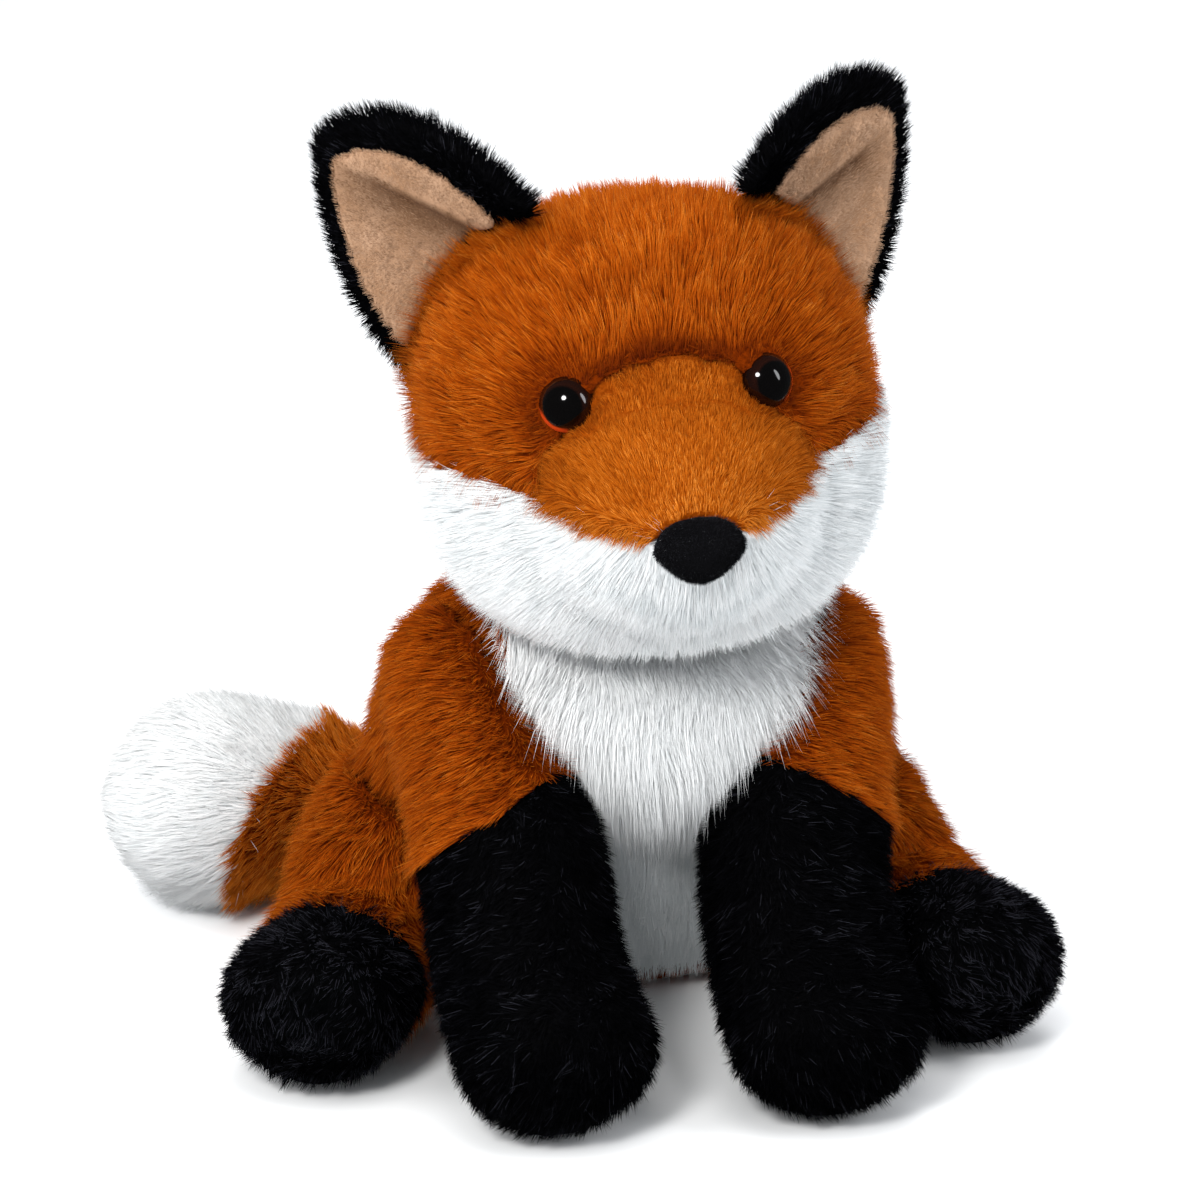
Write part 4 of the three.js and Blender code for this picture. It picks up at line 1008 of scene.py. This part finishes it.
for side, (root, inner) in ear_roots.items():
    middle = centre(f"ear_lining_{side}")
    tan_suede = finish(f"tan_suede_{side}", lambda dye, side=side: suede_paint(dye, side), Roughness=1.0,
                       **{"Specular IOR Level": 0.05})

    def ear_comb(at, normal, start=root * 0.45 + middle * 0.55):
        return unit(at - start)

    def lining_comb(at, normal, start=root):
        return unit(at - start)

    def ear_length(at, normal, inner=inner):
        low = 0.7 * nearness(crown_tree, at, 0.009)
        return (0.0062 + 0.0026 * np.clip(normal @ inner, 0, 1)) * (1 - low)

    def ear_lean(at, normal, inner=inner):
        return 52 - 20 * np.clip(normal @ inner, 0, 1)

    # Painted shadow below the lining's fold, a painted highlight on its upper lip, and the right ear's
    # lining painted lighter than the left.
    def lining_light_and_shade(at, normal, side=side):
        off, beside = below_fold(at, side)
        fade = np.clip(off / 0.002 + 1, 0, 1) * np.exp(-np.clip(off, 0, 1) / 0.008)
        return beside * (0.1 * (off < -0.001) - 1.1 * fade) + (0.45 if side == "right" else 0.1)

    def ear_inset(at, normal, inner=inner):
        return 0.0006 - 0.0028 * np.clip(normal @ inner, 0, 1)

    back = fur_skin(f"ear_back_{side}", f"ear_panel_{side}", black_cloth, ear_inset,
                    voxel=0.0013, probe=0.0009, rounds=4, overlap=0.0)
    pile(back, f"ear_pile_{side}", black_coat, ear_length, ear_comb, density=3.0e6,
         thickness=0.00017, lean=ear_lean, seed=31, wave=0.008, rounding=0.7)
    lining = fur_skin(f"ear_lining_{side}", f"ear_inside_{side}", tan_suede, 0.0002,
                      voxel=0.001, probe=0.0007, rounds=4, overlap=0.0)
    places, _ = arrays(lining[0].data)
    off, beside = below_fold(places, side)
    rise = 0.0018 * np.exp(-((off + 0.0045) / 0.0045) ** 2)
    rise -= 0.0006 * np.exp(-((off - 0.002) / 0.003) ** 2)
    reshape(lining[0], places + lining[2] * (lining[1] * beside * rise)[:, None])
    pile(lining, f"ear_nap_{side}", tan_coat, 0.0024, lining_comb, density=5.2e6,
         thickness=0.00013, lean=58, tuft=0.1, seed=32, wave=0.008, tint=lining_light_and_shade)


# Front legs: two long forms of stuffed fur, a russet sleeve sewn on a slant to a black stocking with
# a broad round paw. The sleeves are sewn to the torso's sides, and the paws rest on the floor.
def leg_comb(at, normal):
    return down(at, normal) + np.sign(at) * [0.6, 0, 0] + [0, 0.12, 0]


for side, seed in (("left", 41), ("right", 45)):
    filling(f"front_leg_stuffing_{side}", f"front_leg_filling_{side}", fibre)
    sleeve = fur_skin(f"sleeve_{side}", f"sleeve_panel_{side}", russet_cloth, 0.0035)
    pile(sleeve, f"sleeve_pile_{side}", russet_coat, 0.0095, leg_comb, seed=seed,
         density=1.8e6, thickness=0.00017, lean=52, tuft=0.2)
    stocking = fur_skin(f"stocking_{side}", f"stocking_panel_{side}", black_cloth, 0.0024)
    pile(stocking, f"stocking_pile_{side}", black_coat, 0.0065, leg_comb, density=1.6e6,
         lean=50, tuft=0.4, loose=0.6, seed=seed + 1, rounding=0.8, wave=0.008)


# Hind legs: a round russet haunch that narrows to a black foot, lying flat on the floor and pointing
# out and forward. Each is stuffed like the front legs and sewn to the torso at the hip.
for side, seed in (("left", 51), ("right", 55)):
    heel, toe = centre(f"thigh_skin_{side}"), centre(f"foot_skin_{side}")

    def haunch_comb(at, normal, way=unit(toe - heel)):
        return down(at, normal) * 0.8 + way

    def foot_comb(at, normal, start=toe - unit(toe - heel) * 0.03):
        return unit(at - start)

    filling(f"hind_leg_stuffing_{side}", f"hind_leg_filling_{side}", fibre)
    thigh = fur_skin(f"thigh_skin_{side}", f"thigh_panel_{side}", russet_cloth, 0.0032,
                     voxel=0.002)
    pile(thigh, f"thigh_pile_{side}", russet_coat, 0.0105, haunch_comb, seed=seed, lean=56)
    foot = fur_skin(f"foot_skin_{side}", f"foot_panel_{side}", black_cloth, 0.0024)
    # The feet's pile is tinted up by 0.2, so more of its hairs carry the painted glints.
    pile(foot, f"foot_pile_{side}", black_coat, 0.0065, foot_comb, density=1.6e6,
         lean=50, tuft=0.4, loose=0.6, seed=seed + 1, rounding=0.8, wave=0.008, tint=0.2)


# Tail: a stuffed brush that lies round to the fox's side, russet from its root to a slanted seam and
# white from there to its blunt end, where the pile fans out.
tail_root = np.array((-0.01, 0.0596, 0.03))
tail_heart = centre("tail_tip_skin")


def tail_comb(at, normal):
    along = unit(tail_heart - tail_root)
    past = np.clip((at - tail_heart) @ along / 0.03 + 1, 0, 1)[:, None]
    return along + unit(at - tail_heart) * past


def tail_inset(at, out):
    """Let out where the tail is sewn to the torso, so that its root closes on the back."""
    return 0.0035 - 0.013 * nearness(near_tree["tail"], at, 0.007)


filling("tail_stuffing", "tail_filling", fibre, slack=0.007)
brush = fur_skin("tail_skin", "tail_panel", russet_cloth, tail_inset)
# The brush's pile is lightened (tint 0.5) as painted light, where it lies in shadow beside its white end
# and the haunch.
pile(brush, "tail_pile", russet_coat, 0.012, tail_comb, seed=61, tint=0.5)
tip = fur_skin("tail_tip_skin", "tail_tip_panel", white_cloth, 0.0035)
pile(tip, "tail_tip_pile", white_coat, 0.012, tail_comb, seed=62, density=2.2e6,
     thickness=0.00017, tuft=0.08, rounding=0.1, mingle=0.00001)
